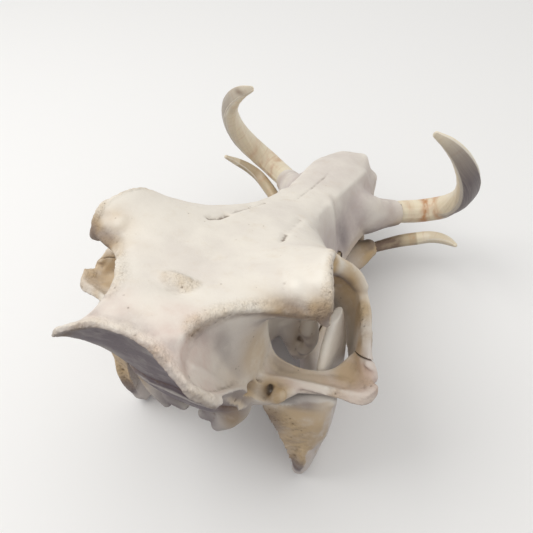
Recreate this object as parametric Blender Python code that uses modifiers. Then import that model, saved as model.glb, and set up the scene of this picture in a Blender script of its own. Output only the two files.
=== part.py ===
"""Warthog skull: a cranium and a mandible of bone, four curved tusks, cheek teeth and incisors.

Every bone is a fusion of lofts. The braincase and snout are one loft of cross-sections, and arches,
processes and rims are sweeps of an ellipse along a curve. A voxel remesh welds them as the bones of
an old animal are welded. Skull figures are millimetres: X to the animal's right, Y towards the
snout, Z up.
"""

import math

import bmesh
import bpy
import numpy as np

MM = 0.001

# Driving dimensions of the skull, in millimetres. The object stands on the lower edge of its mandible.
TABLE_Z = 24.0
MIDDLE_Y = 174.0
BONE_VOXEL = 2.6
GAP = 0.4
SOFTEN_ROUNDS = 3
DOME_SHARES = (0.5, 0.85)
TABLE_DEPTH = 50.0
CRANIUM_KEEP = 0.037
MANDIBLE_KEEP = 0.03

# Colours as linear RGB, with roughness.
BONE = ((0.82, 0.78, 0.71), 0.62)
JAW_BONE = ((0.76, 0.70, 0.60), 0.65)
IVORY = ((0.80, 0.70, 0.52), 0.34)
ENAMEL = ((0.62, 0.52, 0.36), 0.42)

# Braincase and snout: half sections at stations along Y, from the roof's midline over the edge of the
# roof and down the side wall to the base's midline, as (x, z).
CORE_SECTIONS = (
    (-4, ((0, 228), (12, 228), (22, 226.5), (31, 221.5), (37, 215),
          (43, 207), (47, 200), (44, 196), (25, 208), (0, 217))),
    (3, ((0, 229), (11, 229), (20, 228), (26.5, 224.5), (31, 216),
         (38, 204), (46, 193), (43, 188), (24, 194), (0, 199))),
    (12, ((0, 229), (11, 229), (20, 228), (25.8, 226), (28, 217),
          (33, 203), (43, 184), (42, 176), (24, 174), (0, 176))),
    (24, ((0, 227), (12, 227.5), (22, 227.5), (28.8, 225.6), (30, 214),
          (33, 200), (41, 174), (43, 160), (28, 150), (0, 148))),
    (38, ((0, 222.5), (14, 223.5), (28, 224.5), (38, 223), (37.5, 213),
          (37, 200), (41, 176), (45, 156), (34, 130), (0, 118))),
    (52, ((0, 219), (16, 220), (36, 221.5), (52, 216), (49, 208),
          (43, 198), (42, 178), (45, 157), (36, 122), (0, 108))),
    (66, ((0, 215.5), (20, 217.5), (50, 220), (78.5, 214), (76, 206),
          (50, 200), (42, 181), (43, 156), (34, 118), (0, 104))),
    (74, ((0, 213), (20, 215.5), (52, 222), (75.5, 227), (78, 217),
          (50, 204), (41, 182), (41, 154), (32, 114), (0, 102))),
    (90, ((0, 209), (22, 211), (52, 221), (70, 228), (70, 218),
          (48, 204), (33, 180), (31, 150), (27, 114), (0, 100))),
    (106, ((0, 204.5), (22, 206.5), (49, 215), (66.5, 222), (67, 213),
           (54, 201), (37, 178), (32, 150), (28, 114), (0, 98))),
    (120, ((0, 200), (20, 201), (42, 206), (60.5, 207), (66, 199),
           (65, 187), (57, 170), (50, 150), (36, 116), (0, 97))),
    (136, ((0, 195), (18, 195), (36, 195.5), (52, 193), (60, 185),
           (62, 173), (59, 158), (52, 140), (39, 110), (0, 96))),
    (155, ((0, 187.5), (15, 187), (30, 185.5), (42, 180), (49, 170),
           (52, 158), (51, 144), (47, 126), (38, 102), (0, 95))),
    (175, ((0, 179.5), (12, 179), (23, 177), (31, 172.5), (36, 162),
           (39, 150), (41, 134), (41, 116), (37, 96), (0, 94))),
    (200, ((0, 168), (9, 167.5), (18, 165.5), (24, 162), (29, 152),
           (32, 140), (35, 124), (37, 107), (35, 91), (0, 92))),
    (235, ((0, 156), (8, 155.5), (16, 154), (21.5, 151), (26, 142),
           (30, 130), (34, 115), (38, 100), (35, 87), (0, 90))),
    (265, ((0, 148), (8, 147.5), (16, 146), (22, 143.5), (27, 134),
           (31, 122), (37, 108), (40, 96), (36, 84), (0, 88))),
    (290, ((0, 143), (8, 142.5), (17, 141), (24, 138.5), (29, 129),
           (34, 117), (39, 105), (41, 93), (37, 82), (0, 86))),
    (320, ((0, 138), (8, 137), (17, 134), (23.5, 129.5), (28, 120),
           (32, 108), (35, 97), (36, 88), (32, 79), (0, 83))),
    (345, ((0, 129), (8, 127.5), (15, 123), (21, 117), (25, 109),
           (28, 100), (29, 92), (29, 84), (26, 76), (0, 80))),
    (362, ((0, 101), (7, 101), (14, 100), (20, 98), (24, 95),
           (26, 91), (26, 87), (25, 81), (20, 75), (0, 76))),
)

# Sweeps on the right side of the cranium, mirrored to the left: each key is x, y, z, half width, half
# height and roll.
SIDE_SWEEPS = {
    "nuchal crest": (
        (0, -1, 224, 5, 5, 0),
        (17, -4, 223.5, 5, 6, 0),
        (24, -6, 221, 5, 6, 0),
        (31, -8.5, 217, 5, 6.5, 0),
        (38.5, -9.5, 211.5, 5, 6.5, 0),
        (45, -5.5, 203, 5, 6, 0),
        (47, -2, 198, 5, 6, 0),
    ),
    "wing edge": (
        (46, -3, 198, 5, 6, 0),
        (46, 5, 188, 4.5, 6, 0),
        (45, 18, 172, 4.5, 7, 0),
        (42, 32, 154, 6, 9, 0),
        (38, 42, 138, 8, 9, 0),
    ),
    "glenoid": (
        (50, 50, 147, 6, 6, 0),
        (64, 62, 145, 7, 4.5, 0),
        (80, 70, 144.5, 7, 4.5, 0),
        (94, 74, 143, 6, 5, 0),
    ),
    "ear tube": (
        (42, 40, 149, 6, 9, 0),
        (52, 44, 144, 5.5, 7.5, 0),
        (60, 50, 143.5, 5, 5, 0),
        (66, 56, 144, 4, 4, 0),
    ),
    "paraoccipital process": (
        (38, 38, 142, 6, 9, 0),
        (33, 38, 126, 4.5, 8, 0),
        (27, 37, 110, 3.5, 6, 0),
        (20.5, 36, 95, 2.6, 3.5, 0),
    ),
    "occipital condyle": (
        (18, 42, 118, 7, 7, 0),
        (16, 39, 108, 7, 7, 0),
        (9, 41, 98, 6, 5, 0),
    ),
    "postorbital process": (
        (60, 72, 217, 8, 8, 0),
        (70, 70, 213, 7, 8, 0),
        (76, 68, 210, 4.5, 6, 0),
    ),
    "orbit front rim": (
        (60, 112, 204, 7, 7, 0),
        (67, 122, 194, 6, 6, 0),
        (75, 129, 183, 5, 6, 0),
        (82, 130, 174, 4, 5, 0),
    ),
    "tusk sheath": (
        (24, 280, 107, 18, 25, 0),
        (36, 293, 100, 17, 21, 0),
        (48, 310, 93, 14.5, 15, 0),
        (57, 320, 89.5, 14, 14.5, 0),
    ),
    "tooth socket row": (
        (43, 131, 106, 8, 17, 0),
        (42, 140, 104, 10, 16, 0),
        (38, 160, 102, 11, 14, 0),
        (35, 190, 98, 10, 12, 0),
        (32, 225, 94, 9, 10, 0),
        (31, 250, 90, 8, 8, 0),
    ),
    "pterygoid": (
        (36, 113, 134, 4, 8, 0),
        (40, 117, 114, 3.5, 8, 0),
        (43, 120, 97, 3, 7, 0),
        (44, 122, 86, 2.5, 5, 0),
    ),
}
# Curved plates on the right side, mirrored to the left: each row runs across the plate, and each key is
# x, y, z and half the plate's thickness.
SIDE_SHEETS = {
    "cheek": (
        ((60, 124, 200, 4), (55, 132, 178, 7), (54, 140, 155, 8), (50, 148, 135, 6), (44, 152, 120, 4)),
        ((74, 131, 184, 3.5), (70, 135, 168, 5), (67, 139, 150, 6), (63, 144, 133, 5), (58, 147, 119, 3)),
        ((83, 129, 173, 3.5), (81, 131, 160, 4.5), (80, 132, 146, 5), (77, 135, 130, 4.5), (72, 137, 117, 3)),
        ((90, 118, 168, 3.5), (89, 119, 157, 4.5), (88, 120, 145, 4.5), (86, 122, 130, 4), (82, 125, 117, 3)),
        ((95, 105, 166, 3.5), (95, 105, 156, 4.5), (95, 105, 145, 4.5), (93, 107, 131, 4), (89, 110, 120, 3)),
        ((98.5, 95, 164, 3), (99.5, 94, 155, 4), (100, 93, 146, 4.5), (98, 95, 137, 4), (93, 99, 128, 3)),
        ((101, 87, 154, 3), (106, 86, 150, 4), (109, 84, 145, 4.5), (106, 85, 138, 4), (101, 90, 133, 3)),
    ),
    "temporal trough": (
        ((32, 84, 156, 4), (32, 70, 156, 5), (32, 56, 160, 5), (34, 42, 164, 5)),
        ((44, 76, 147, 3), (46, 68, 144, 3.5), (48, 60, 145, 4), (48, 50, 151, 4)),
        ((58, 74, 144, 2.5), (60, 70, 142, 3), (60, 66, 142, 3), (60, 60, 146, 3)),
        ((72, 76, 143.5, 2.5), (73, 72, 142, 3), (74, 68, 142, 3), (75, 63, 146, 3)),
        ((84, 84, 144, 2.5), (87, 79, 142, 3), (90, 73, 141, 3.5), (92, 66, 145, 3.5)),
        ((90, 95, 147, 2.5), (96, 88, 143, 4), (103.5, 79, 141, 4.5), (110, 68, 144, 4.5)),
        ((94, 102, 150, 2.5), (101, 95, 147, 4), (108.5, 87, 145, 4.5), (115.5, 79, 144, 4.5)),
    ),
}
# Back wall of the braincase, a stack of level rings: each key is x, y, z, half width, half depth, roll.
OCCIPUT = (
    (0, 2, 214, 34, 9, 0),
    (0, 14, 190, 40, 9, 0),
    (0, 26, 160, 42, 10, 0),
    (0, 36, 132, 38, 12, 0),
    (0, 45, 110, 22, 11, 0),
)

# Hollows of the cranium, cut out of the welded bone. The ear openings are mirrored to the left.
CRANIUM_HOLLOWS = {
    "nose_opening": (
        (0, 385, 112, 13, 13, 0),
        (0, 356, 112, 14, 13, 0),
        (0, 335, 113, 14, 13, 0),
        (0, 312, 115, 10, 10, 0),
    ),
    "foramen_magnum": (
        (0, 10, 110, 10, 10, 0),
        (0, 34, 112, 10, 10, 0),
        (0, 62, 118, 9, 9, 0),
    ),
}
SIDE_HOLLOWS = {
    "ear_opening": (
        (62, 34, 153, 5, 4.5, 0),
        (61, 48, 150, 4.5, 4, 0),
        (56, 58, 146, 3, 3, 0),
    ),
}

# Mandible, its right side mirrored to the left. The rami are stacks with level rings, and the body and
# the chin are stacks with rings across Y: each key is x, y, z, half width and half depth. The condyle
# and the tusk's sheath are sweeps.
RAMUS = (
    (72, 80, 23, 5, 10),
    (73, 77, 29, 7, 17),
    (74.5, 76, 42, 8, 23),
    (77, 78, 62, 8, 28),
    (78, 83, 86, 7, 31),
    (78, 88, 108, 7, 29),
    (77, 95, 126, 6, 24),
    (75.5, 101, 142, 5.5, 18),
    (74, 106, 154, 4.5, 13),
    (73, 110, 165, 3, 6),
)
RAMUS_BACK = (
    (73, 66, 36, 5, 6),
    (74.5, 60, 52, 8, 6),
    (76, 56, 72, 12.5, 7),
    (76.5, 53, 95, 16, 7.5),
    (76, 53, 113, 18.5, 8),
    (75, 54, 123, 19.5, 8),
)
CONDYLE = (
    (50, 44, 126, 5, 5.5, 0),
    (62, 49, 128.5, 7.5, 6.5, 0),
    (76, 56, 133, 9, 6.2, 0),
    (91, 60, 136, 7, 5, 0),
)
JAW_BODY = (
    (74, 78, 50, 8, 25),
    (70, 98, 51, 9.5, 27),
    (60, 122, 50, 11, 25),
    (47, 150, 48, 12.5, 22),
    (39, 180, 47, 13, 21.5),
    (33, 210, 46, 13, 22),
    (27, 235, 45, 12, 21.5),
    (24, 260, 49, 12, 19),
)
SYMPHYSIS = (
    (0, 214, 40, 20, 10),
    (0, 232, 43, 34, 19),
    (0, 255, 46, 37, 22),
    (0, 278, 51, 40, 21),
    (0, 300, 57, 38, 17),
    (0, 320, 62, 31, 12),
    (0, 334, 66, 27, 8),
)
JAW_TUSK_SHEATH = (
    (24, 262, 52, 14, 15, 0),
    (36, 276, 58, 14, 15, 0),
    (46, 289, 62, 9.5, 10, 0),
)

# Tusks from the root to the tip: each key is x, y, z, half width and half height.
TUSK_SIDES = 10
UPPER_TUSK = (
    (38, 303, 96, 9, 9),
    (50, 315, 91, 10, 10),
    (64, 328, 88, 10.8, 11.3),
    (78, 337, 87.5, 11, 11.5),
    (91, 342, 91, 11, 11.5),
    (103, 341, 99, 11, 11.5),
    (112, 334, 112, 11, 11.5),
    (117.5, 323, 130, 10.5, 11),
    (118.5, 311, 150, 10, 10.5),
    (115, 301, 169, 9, 9.5),
    (107, 296, 184, 7.5, 8),
    (96, 293, 195, 5.5, 6),
    (84, 290, 202.5, 2.5, 3),
)
LOWER_TUSK_RIGHT = (
    (32, 274, 58, 4.6, 4.6),
    (44, 286, 62, 5, 5),
    (58, 300, 63.5, 5.4, 5.6),
    (72, 312, 65, 6, 6.2),
    (85, 319, 67.5, 6, 6.4),
    (97, 322, 72, 5.6, 6),
    (108, 318, 78, 5, 5.2),
    (117, 309, 85, 3.6, 4),
    (124, 298, 92, 1.8, 2),
)
LOWER_TUSK_LEFT = (
    (32, 274, 58, 4.6, 4.6),
    (44, 286, 62, 5, 5),
    (57, 301, 65.5, 5.4, 5.6),
    (70, 314, 69, 6, 6.2),
    (83, 322, 74, 6, 6.4),
    (95, 326, 81, 5.6, 6),
    (106, 323, 90, 5, 5.2),
    (116, 315, 100, 3.6, 4),
    (123, 305, 110, 1.8, 2),
)

# Cheek teeth from the front: y of the middle, half length, half width. The last molar is by far the
# longest.
CHEEK_TEETH = {
    "premolar": (224, 6.5, 5.5),
    "first_molar": (209, 7.0, 6.5),
    "last_molar": (170, 30.0, 7.5),
}
# The tooth row's two ends as (x, y), and the z of each tooth's root and crown.
ROW_BACK = (39.0, 140.0)
ROW_FRONT = (31.5, 230.0)
UPPER_ROOT_AND_CROWN = (104.0, 80.0)
LOWER_ROOT_AND_CROWN = (58.0, 79.4)
# A cheek tooth from root to crown: the share of its height, and how full it is there.
TOOTH_SWELL = ((0.0, 0.86), (0.4, 0.95), (0.8, 1.0), (1.0, 0.93))
TOOTH_SQUARENESS = 3.2
UPPER_INCISOR = (
    (9, 349, 86, 4.2, 4.0),
    (8.8, 353, 77, 4.2, 3.8),
    (8, 356, 69, 3.0, 2.4),
)
# Lower incisors: the x of each at its root, and a tooth's keys as spread, y, z, half width, half height.
LOWER_INCISORS = (4.5, 12.5, 20.0)
LOWER_INCISOR = (
    (1.0, 314, 63, 3.0, 3.6),
    (1.1, 330, 67, 3.2, 3.8),
    (1.15, 343, 72, 3.0, 2.6),
    (1.16, 348, 74.5, 1.8, 1.4),
)


def catmull(points, per_span):
    """A Catmull-Rom curve through the points, with per_span samples to each span."""
    p = np.asarray(points, float)
    p = np.vstack([2 * p[0] - p[1], p, 2 * p[-1] - p[-2]])
    t = np.linspace(0, 1, per_span, endpoint=False)[:, None]
    spans = []
    for a, b, c, d in zip(p[:-3], p[1:-2], p[2:-1], p[3:]):
        bend = 2 * a - 5 * b + 4 * c - d
        twist = 3 * b - a - 3 * c + d
        spans.append(0.5 * (2 * b + (c - a) * t + bend * t**2 + twist * t**3))
    return np.vstack([*spans, p[-2:-1]])


def loft(rings):
    """A closed mesh from rings of points, each end shut by a fan round its centre."""
    rings = np.asarray(rings, float)
    count, sides = rings.shape[:2]
    points = np.vstack([rings.reshape(-1, 3), rings[0].mean(0), rings[-1].mean(0)])
    faces = []
    for i in range(count - 1):
        for j in range(sides):
            k = (j + 1) % sides
            faces.append((i * sides + j, i * sides + k, (i + 1) * sides + k, (i + 1) * sides + j))
    for j in range(sides):
        k = (j + 1) % sides
        faces.append((count * sides, k, j))
        faces.append((count * sides + 1, (count - 1) * sides + j, (count - 1) * sides + k))
    return points, faces


def sweep(keys, per_span=5, sides=16, grow=0.0):
    """An ellipse carried along a curve.

    Keys are x, y, z, half width, half height and, if given, a roll in degrees. Each end is a dome.
    """
    rows = catmull(keys, per_span)
    centre, half = rows[:, :3], rows[:, 3:5] + grow
    roll = np.radians(rows[:, 5]) if rows.shape[1] > 5 else np.zeros(len(rows))
    tangent = np.gradient(centre, axis=0)
    tangent /= np.linalg.norm(tangent, axis=1)[:, None]
    side = np.cross(tangent, (0.0, 0.0, 1.0))
    steep = np.linalg.norm(side, axis=1) < 0.05
    side[steep] = np.cross(tangent[steep], (0.0, 1.0, 0.0))
    side /= np.linalg.norm(side, axis=1)[:, None]
    up = np.cross(side, tangent)
    turn_side = np.cos(roll)[:, None] * side + np.sin(roll)[:, None] * up
    turn_up = np.cos(roll)[:, None] * up - np.sin(roll)[:, None] * side
    angle = np.linspace(0, 2 * math.pi, sides, endpoint=False)
    ring = (
        turn_side[:, None] * np.cos(angle)[None, :, None] * half[:, :1, None]
        + turn_up[:, None] * np.sin(angle)[None, :, None] * half[:, 1:, None]
    )
    body = centre[:, None] + ring
    reach = half.min(axis=1)
    ends = []
    for index, way in ((0, -1.0), (-1, 1.0)):
        caps = []
        for share in DOME_SHARES:
            step = tangent[index] * way * reach[index] * share
            caps.append(centre[index] + step + ring[index] * math.sqrt(1 - share**2))
        ends.append(caps)
    return loft(np.concatenate([ends[0][::-1], body, ends[1]]))


def core():
    """The braincase and snout: the half sections smoothed round the ring and along Y, and mirrored."""
    stations = []
    for y, half in CORE_SECTIONS:
        half = np.asarray(half, float)
        ring = np.vstack([half, (half * (-1, 1))[-2:0:-1]])
        closed = np.vstack([ring[-1:], ring, ring[:2]])
        smooth = catmull(closed, 3)[3:-6]
        stations.append(np.column_stack([smooth[:, 0], np.full(len(smooth), y), smooth[:, 1]]))
    stations = np.asarray(stations)
    count = stations.shape[1]
    return loft(catmull(stations.reshape(len(stations), -1), 4).reshape(-1, count, 3))


def mirrored(shape):
    """The same shape on the animal's left."""
    points, faces = shape
    return points * (-1, 1, 1), [face[::-1] for face in faces]


def joined(shapes):
    """Several closed shapes as one list of points and faces."""
    points, faces, base = [], [], 0
    for part_points, part_faces in shapes:
        points.append(part_points)
        faces += [tuple(index + base for index in face) for face in part_faces]
        base += len(part_points)
    return np.vstack(points), faces


def to_object(name, shape, collection):
    """A mesh object from millimetre figures, moved so that the origin is under the middle of the skull."""
    points, faces = shape
    mesh = bpy.data.meshes.new(name)
    mesh.from_pydata(((points - (0, MIDDLE_Y, TABLE_Z)) * MM).tolist(), [], faces)
    shell = bmesh.new()
    shell.from_mesh(mesh)
    bmesh.ops.recalc_face_normals(shell, faces=shell.faces)
    shell.to_mesh(mesh)
    shell.free()
    obj = bpy.data.objects.new(name, mesh)
    collection.objects.link(obj)
    return obj


def stack(keys, plane, per_span=4, sides=16, power=2.4):
    """A superellipse stacked along a curve, each ring in a plane of X with plane, which is Y or Z."""
    rows = catmull(keys, per_span)
    angle = np.linspace(0, 2 * math.pi, sides, endpoint=False)
    cos, sin = np.cos(angle), np.sin(angle)
    across = np.sign(cos) * np.abs(cos) ** (2 / power)
    along = np.sign(sin) * np.abs(sin) ** (2 / power)
    axis = np.array((0.0, 1.0, 0.0) if plane == "Y" else (0.0, 0.0, -1.0))
    wide = across[None, :, None] * np.array((1.0, 0.0, 0.0)) * rows[:, 3, None, None]
    deep = along[None, :, None] * axis * rows[:, 4, None, None]
    return loft(rows[:, None, :3] + wide + deep)


def sheet(rows, per_span=4):
    """A curved plate through a grid of points, with its two faces offset along the normal and a closed rim."""
    grid = np.asarray(rows, float)
    across = np.stack([catmull(row, per_span) for row in grid])
    smooth = catmull(across.reshape(len(grid), -1), per_span).reshape(-1, across.shape[1], 4)
    place, half = smooth[..., :3], smooth[..., 3:]
    normal = np.cross(np.gradient(place, axis=0), np.gradient(place, axis=1))
    normal /= np.linalg.norm(normal, axis=2, keepdims=True)
    rings = np.concatenate([place + normal * half, (place - normal * half)[:, ::-1]], axis=1)
    count, sides = rings.shape[:2]
    faces = []
    for i in range(count - 1):
        for j in range(sides):
            k = (j + 1) % sides
            faces.append((i * sides + j, i * sides + k, (i + 1) * sides + k, (i + 1) * sides + j))
    last = (count - 1) * sides
    for j in range(sides // 2 - 1):
        faces.append((sides - 1 - j, sides - 2 - j, j + 1, j))
        faces.append((last + j, last + j + 1, last + sides - 2 - j, last + sides - 1 - j))
    return rings.reshape(-1, 3), faces


def cheek_tooth(kind, root_and_crown, grow=0.0):
    """A squared post with a worn flat crown, its root in the bone."""
    middle, half_length, half_width = CHEEK_TEETH[kind]
    lean = (ROW_FRONT[0] - ROW_BACK[0]) / (ROW_FRONT[1] - ROW_BACK[1])
    x = ROW_BACK[0] + lean * (middle - ROW_BACK[1])
    root, crown = root_and_crown
    way = math.copysign(1.0, crown - root)
    keys = []
    for share, swell in TOOTH_SWELL:
        z = root + (crown - root) * share + grow * way * (-1 if share == 0 else share == 1)
        keys.append((x, middle, z, half_width * swell + grow, half_length * swell + grow))
    return stack(keys, "Y", per_span=1, sides=10, power=TOOTH_SQUARENESS)


def upper_incisor(grow=0.0):
    """A small peg tooth under the front of the snout."""
    return sweep(UPPER_INCISOR, per_span=1, sides=6, grow=grow)


def lower_incisor(x, grow=0.0):
    """A peg tooth that leans forward from the front of the mandible."""
    keys = [(x * spread, *rest) for spread, *rest in LOWER_INCISOR]
    return sweep(keys, per_span=1, sides=6, grow=grow)


def material(name, finish):
    """A Principled material from a colour and a roughness."""
    made = bpy.data.materials.new(name)
    made.use_nodes = True
    shader = made.node_tree.nodes["Principled BSDF"]
    colour, roughness = finish
    shader.inputs["Base Color"].default_value = (*colour, 1)
    shader.inputs["Roughness"].default_value = roughness
    return made


def cutter(name, shape, collection):
    """A hidden solid that only cuts others."""
    obj = to_object(name, shape, collection)
    obj.hide_render = True
    obj.display_type = "WIRE"
    return obj


def weld(obj, voxel):
    """Fuses overlapping lofts into one skin."""
    remesh = obj.modifiers.new("Weld", "REMESH")
    remesh.mode = "VOXEL"
    remesh.voxel_size = voxel * MM


def cut(obj, tool):
    """Takes the tool's shape away."""
    boolean = obj.modifiers.new("Cut " + tool.name, "BOOLEAN")
    boolean.operation = "DIFFERENCE"
    boolean.solver = "EXACT"
    boolean.object = tool


def soften(obj, keep):
    """Smooths the voxel skin and keeps the given share of its triangles."""
    smooth = obj.modifiers.new("Soften", "SMOOTH")
    smooth.iterations = SOFTEN_ROUNDS
    smooth.factor = 0.5
    thin = obj.modifiers.new("Thin", "DECIMATE")
    thin.ratio = keep


def both_sides(shape):
    """A shape and its mirror image."""
    return [shape, mirrored(shape)]


def cranium_shape():
    """All the lofts of the cranium together."""
    shapes = [core(), stack(OCCIPUT, "Y", sides=24)]
    for keys in SIDE_SWEEPS.values():
        shapes += both_sides(sweep(keys))
    for rows in SIDE_SHEETS.values():
        shapes += both_sides(sheet(rows))
    return joined(shapes)


def mandible_shape():
    """All the lofts of the mandible together."""
    shapes = [stack(SYMPHYSIS, "Z", sides=24)]
    for side in (
        stack(RAMUS, "Y"),
        stack(RAMUS_BACK, "Y"),
        stack(JAW_BODY, "Z"),
        sweep(CONDYLE),
        sweep(JAW_TUSK_SHEATH),
    ):
        shapes += both_sides(side)
    return joined(shapes)


def build_cranium(parts, cutters, finish):
    """The cranium with its hollows."""
    obj = to_object("cranium", cranium_shape(), parts)
    weld(obj, BONE_VOXEL)
    for name, keys in CRANIUM_HOLLOWS.items():
        cut(obj, cutter(name, sweep(keys), cutters))
    for name, keys in SIDE_HOLLOWS.items():
        cut(obj, cutter(name, joined(both_sides(sweep(keys, sides=12))), cutters))
    weld(obj, BONE_VOXEL)
    soften(obj, CRANIUM_KEEP)
    obj.data.materials.append(finish)
    return obj


def build_mandible(parts, cutters, finish):
    """The mandible, its lower edge worn flat where it stands."""
    obj = to_object("mandible", mandible_shape(), parts)
    weld(obj, BONE_VOXEL)
    soften(obj, MANDIBLE_KEEP)
    bpy.ops.mesh.primitive_cube_add(size=1, location=(0, 0, -TABLE_DEPTH * MM / 2))
    table = bpy.context.object
    table.name = "table"
    table.scale = (1, 1, TABLE_DEPTH * MM)
    table.hide_render = True
    table.display_type = "WIRE"
    for collection in list(table.users_collection):
        collection.objects.unlink(table)
    cutters.objects.link(table)
    cut(obj, table)
    obj.data.materials.append(finish)
    return obj


def seat(name, shape_at, side, bone, finish, parts, cutters):
    """A tooth or tusk in its own socket: the grown shape cuts the bone, and the real one sits in the hole."""
    tooth, hole = shape_at(0.0), shape_at(GAP)
    if side < 0:
        tooth, hole = mirrored(tooth), mirrored(hole)
    cut(bone, cutter(name + "_socket", hole, cutters))
    obj = to_object(name, tooth, parts)
    obj.data.materials.append(finish)


def build_side(side, name, cranium, mandible, ivory, enamel, parts, cutters):
    """The tusks, cheek teeth and incisors of one side."""
    lower_tusk = LOWER_TUSK_RIGHT if side > 0 else LOWER_TUSK_LEFT
    for label, keys, bone in (("upper_tusk", UPPER_TUSK, cranium), ("lower_tusk", lower_tusk, mandible)):
        def tusk(grow, keys=keys):
            return sweep(keys, per_span=2, sides=TUSK_SIDES, grow=grow)
        seat(f"{label}_{name}", tusk, side, bone, ivory, parts, cutters)
    for kind in CHEEK_TEETH:
        for jaw, ends, bone in (
            ("upper", UPPER_ROOT_AND_CROWN, cranium),
            ("lower", LOWER_ROOT_AND_CROWN, mandible),
        ):
            def crown(grow, kind=kind, ends=ends):
                return cheek_tooth(kind, ends, grow)
            seat(f"{jaw}_{kind}_{name}", crown, side, bone, enamel, parts, cutters)
    seat(f"upper_incisor_{name}", upper_incisor, side, cranium, enamel, parts, cutters)
    for number, x in enumerate(LOWER_INCISORS, 1):
        def peg(grow, x=x):
            return lower_incisor(x, grow)
        seat(f"lower_incisor_{number}_{name}", peg, side, mandible, enamel, parts, cutters)


def main():
    for obj in list(bpy.data.objects):
        bpy.data.objects.remove(obj)
    parts = bpy.data.collections.new("warthog_skull")
    cutters = bpy.data.collections.new("cutters")
    bpy.context.scene.collection.children.link(parts)
    bpy.context.scene.collection.children.link(cutters)
    cranium = build_cranium(parts, cutters, material("bone", BONE))
    mandible = build_mandible(parts, cutters, material("jaw bone", JAW_BONE))
    ivory = material("ivory", IVORY)
    enamel = material("enamel", ENAMEL)
    for side, name in ((1, "right"), (-1, "left")):
        build_side(side, name, cranium, mandible, ivory, enamel, parts, cutters)


main()
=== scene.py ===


"""Looks of a dry warthog skull: fine bone, ivory and enamel around the packed part, in a plain studio.

Every surface is a loft or a sweep worked out with numpy from named keys, in millimetres of the animal's own
frame: X to its right, Y towards the snout, Z up. The lofts of a bone are welded by a voxel remesh, and the
bone's relief is added along its normals: sutures, foramina, pores and the rough crests. Stains and painted
shade are masks kept as vertex attributes, which the procedural materials read.
"""

import math

import bpy
import numpy as np
from mathutils import Matrix, Vector


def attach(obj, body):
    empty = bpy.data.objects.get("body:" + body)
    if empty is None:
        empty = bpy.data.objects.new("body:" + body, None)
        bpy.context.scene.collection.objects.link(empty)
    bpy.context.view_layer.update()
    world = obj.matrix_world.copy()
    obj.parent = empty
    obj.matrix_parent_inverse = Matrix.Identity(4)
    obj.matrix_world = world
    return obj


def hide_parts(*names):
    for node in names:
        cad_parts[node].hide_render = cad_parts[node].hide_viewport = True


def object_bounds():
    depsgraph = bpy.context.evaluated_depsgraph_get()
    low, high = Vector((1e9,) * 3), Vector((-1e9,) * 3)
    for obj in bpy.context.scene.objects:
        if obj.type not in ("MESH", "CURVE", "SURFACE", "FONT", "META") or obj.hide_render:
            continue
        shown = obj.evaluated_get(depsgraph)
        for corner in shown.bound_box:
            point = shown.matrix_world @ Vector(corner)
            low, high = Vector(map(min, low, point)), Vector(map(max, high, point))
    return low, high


bl_info = {
    "name": "Warthog Skull",
    "version": (1, 0, 0),
    "blender": (4, 5, 0),
    "location": "3D View > Sidebar > Skull",
    "description": "Builds the bone, tusks, teeth and studio of a dry warthog skull",
    "category": "Add Mesh",
}

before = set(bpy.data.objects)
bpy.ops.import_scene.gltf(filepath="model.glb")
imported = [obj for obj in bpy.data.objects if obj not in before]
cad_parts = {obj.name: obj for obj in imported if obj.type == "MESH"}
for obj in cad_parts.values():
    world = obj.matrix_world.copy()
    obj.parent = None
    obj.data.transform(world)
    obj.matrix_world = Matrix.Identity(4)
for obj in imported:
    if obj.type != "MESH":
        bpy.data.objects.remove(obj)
PART_LOW, PART_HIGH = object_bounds()

# The packed part is 376.2 mm long, so one of this file's millimetres follows its length.
SKULL_LENGTH = 376.2
MM = (PART_HIGH.y - PART_LOW.y) / SKULL_LENGTH
# The point of the animal's frame that lies at the origin: under the middle, on the table.
TABLE_Z = 24.0
MIDDLE_Y = 174.0
ORIGIN = np.array((0.0, MIDDLE_Y, TABLE_Z))
BODY = "root"

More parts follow.
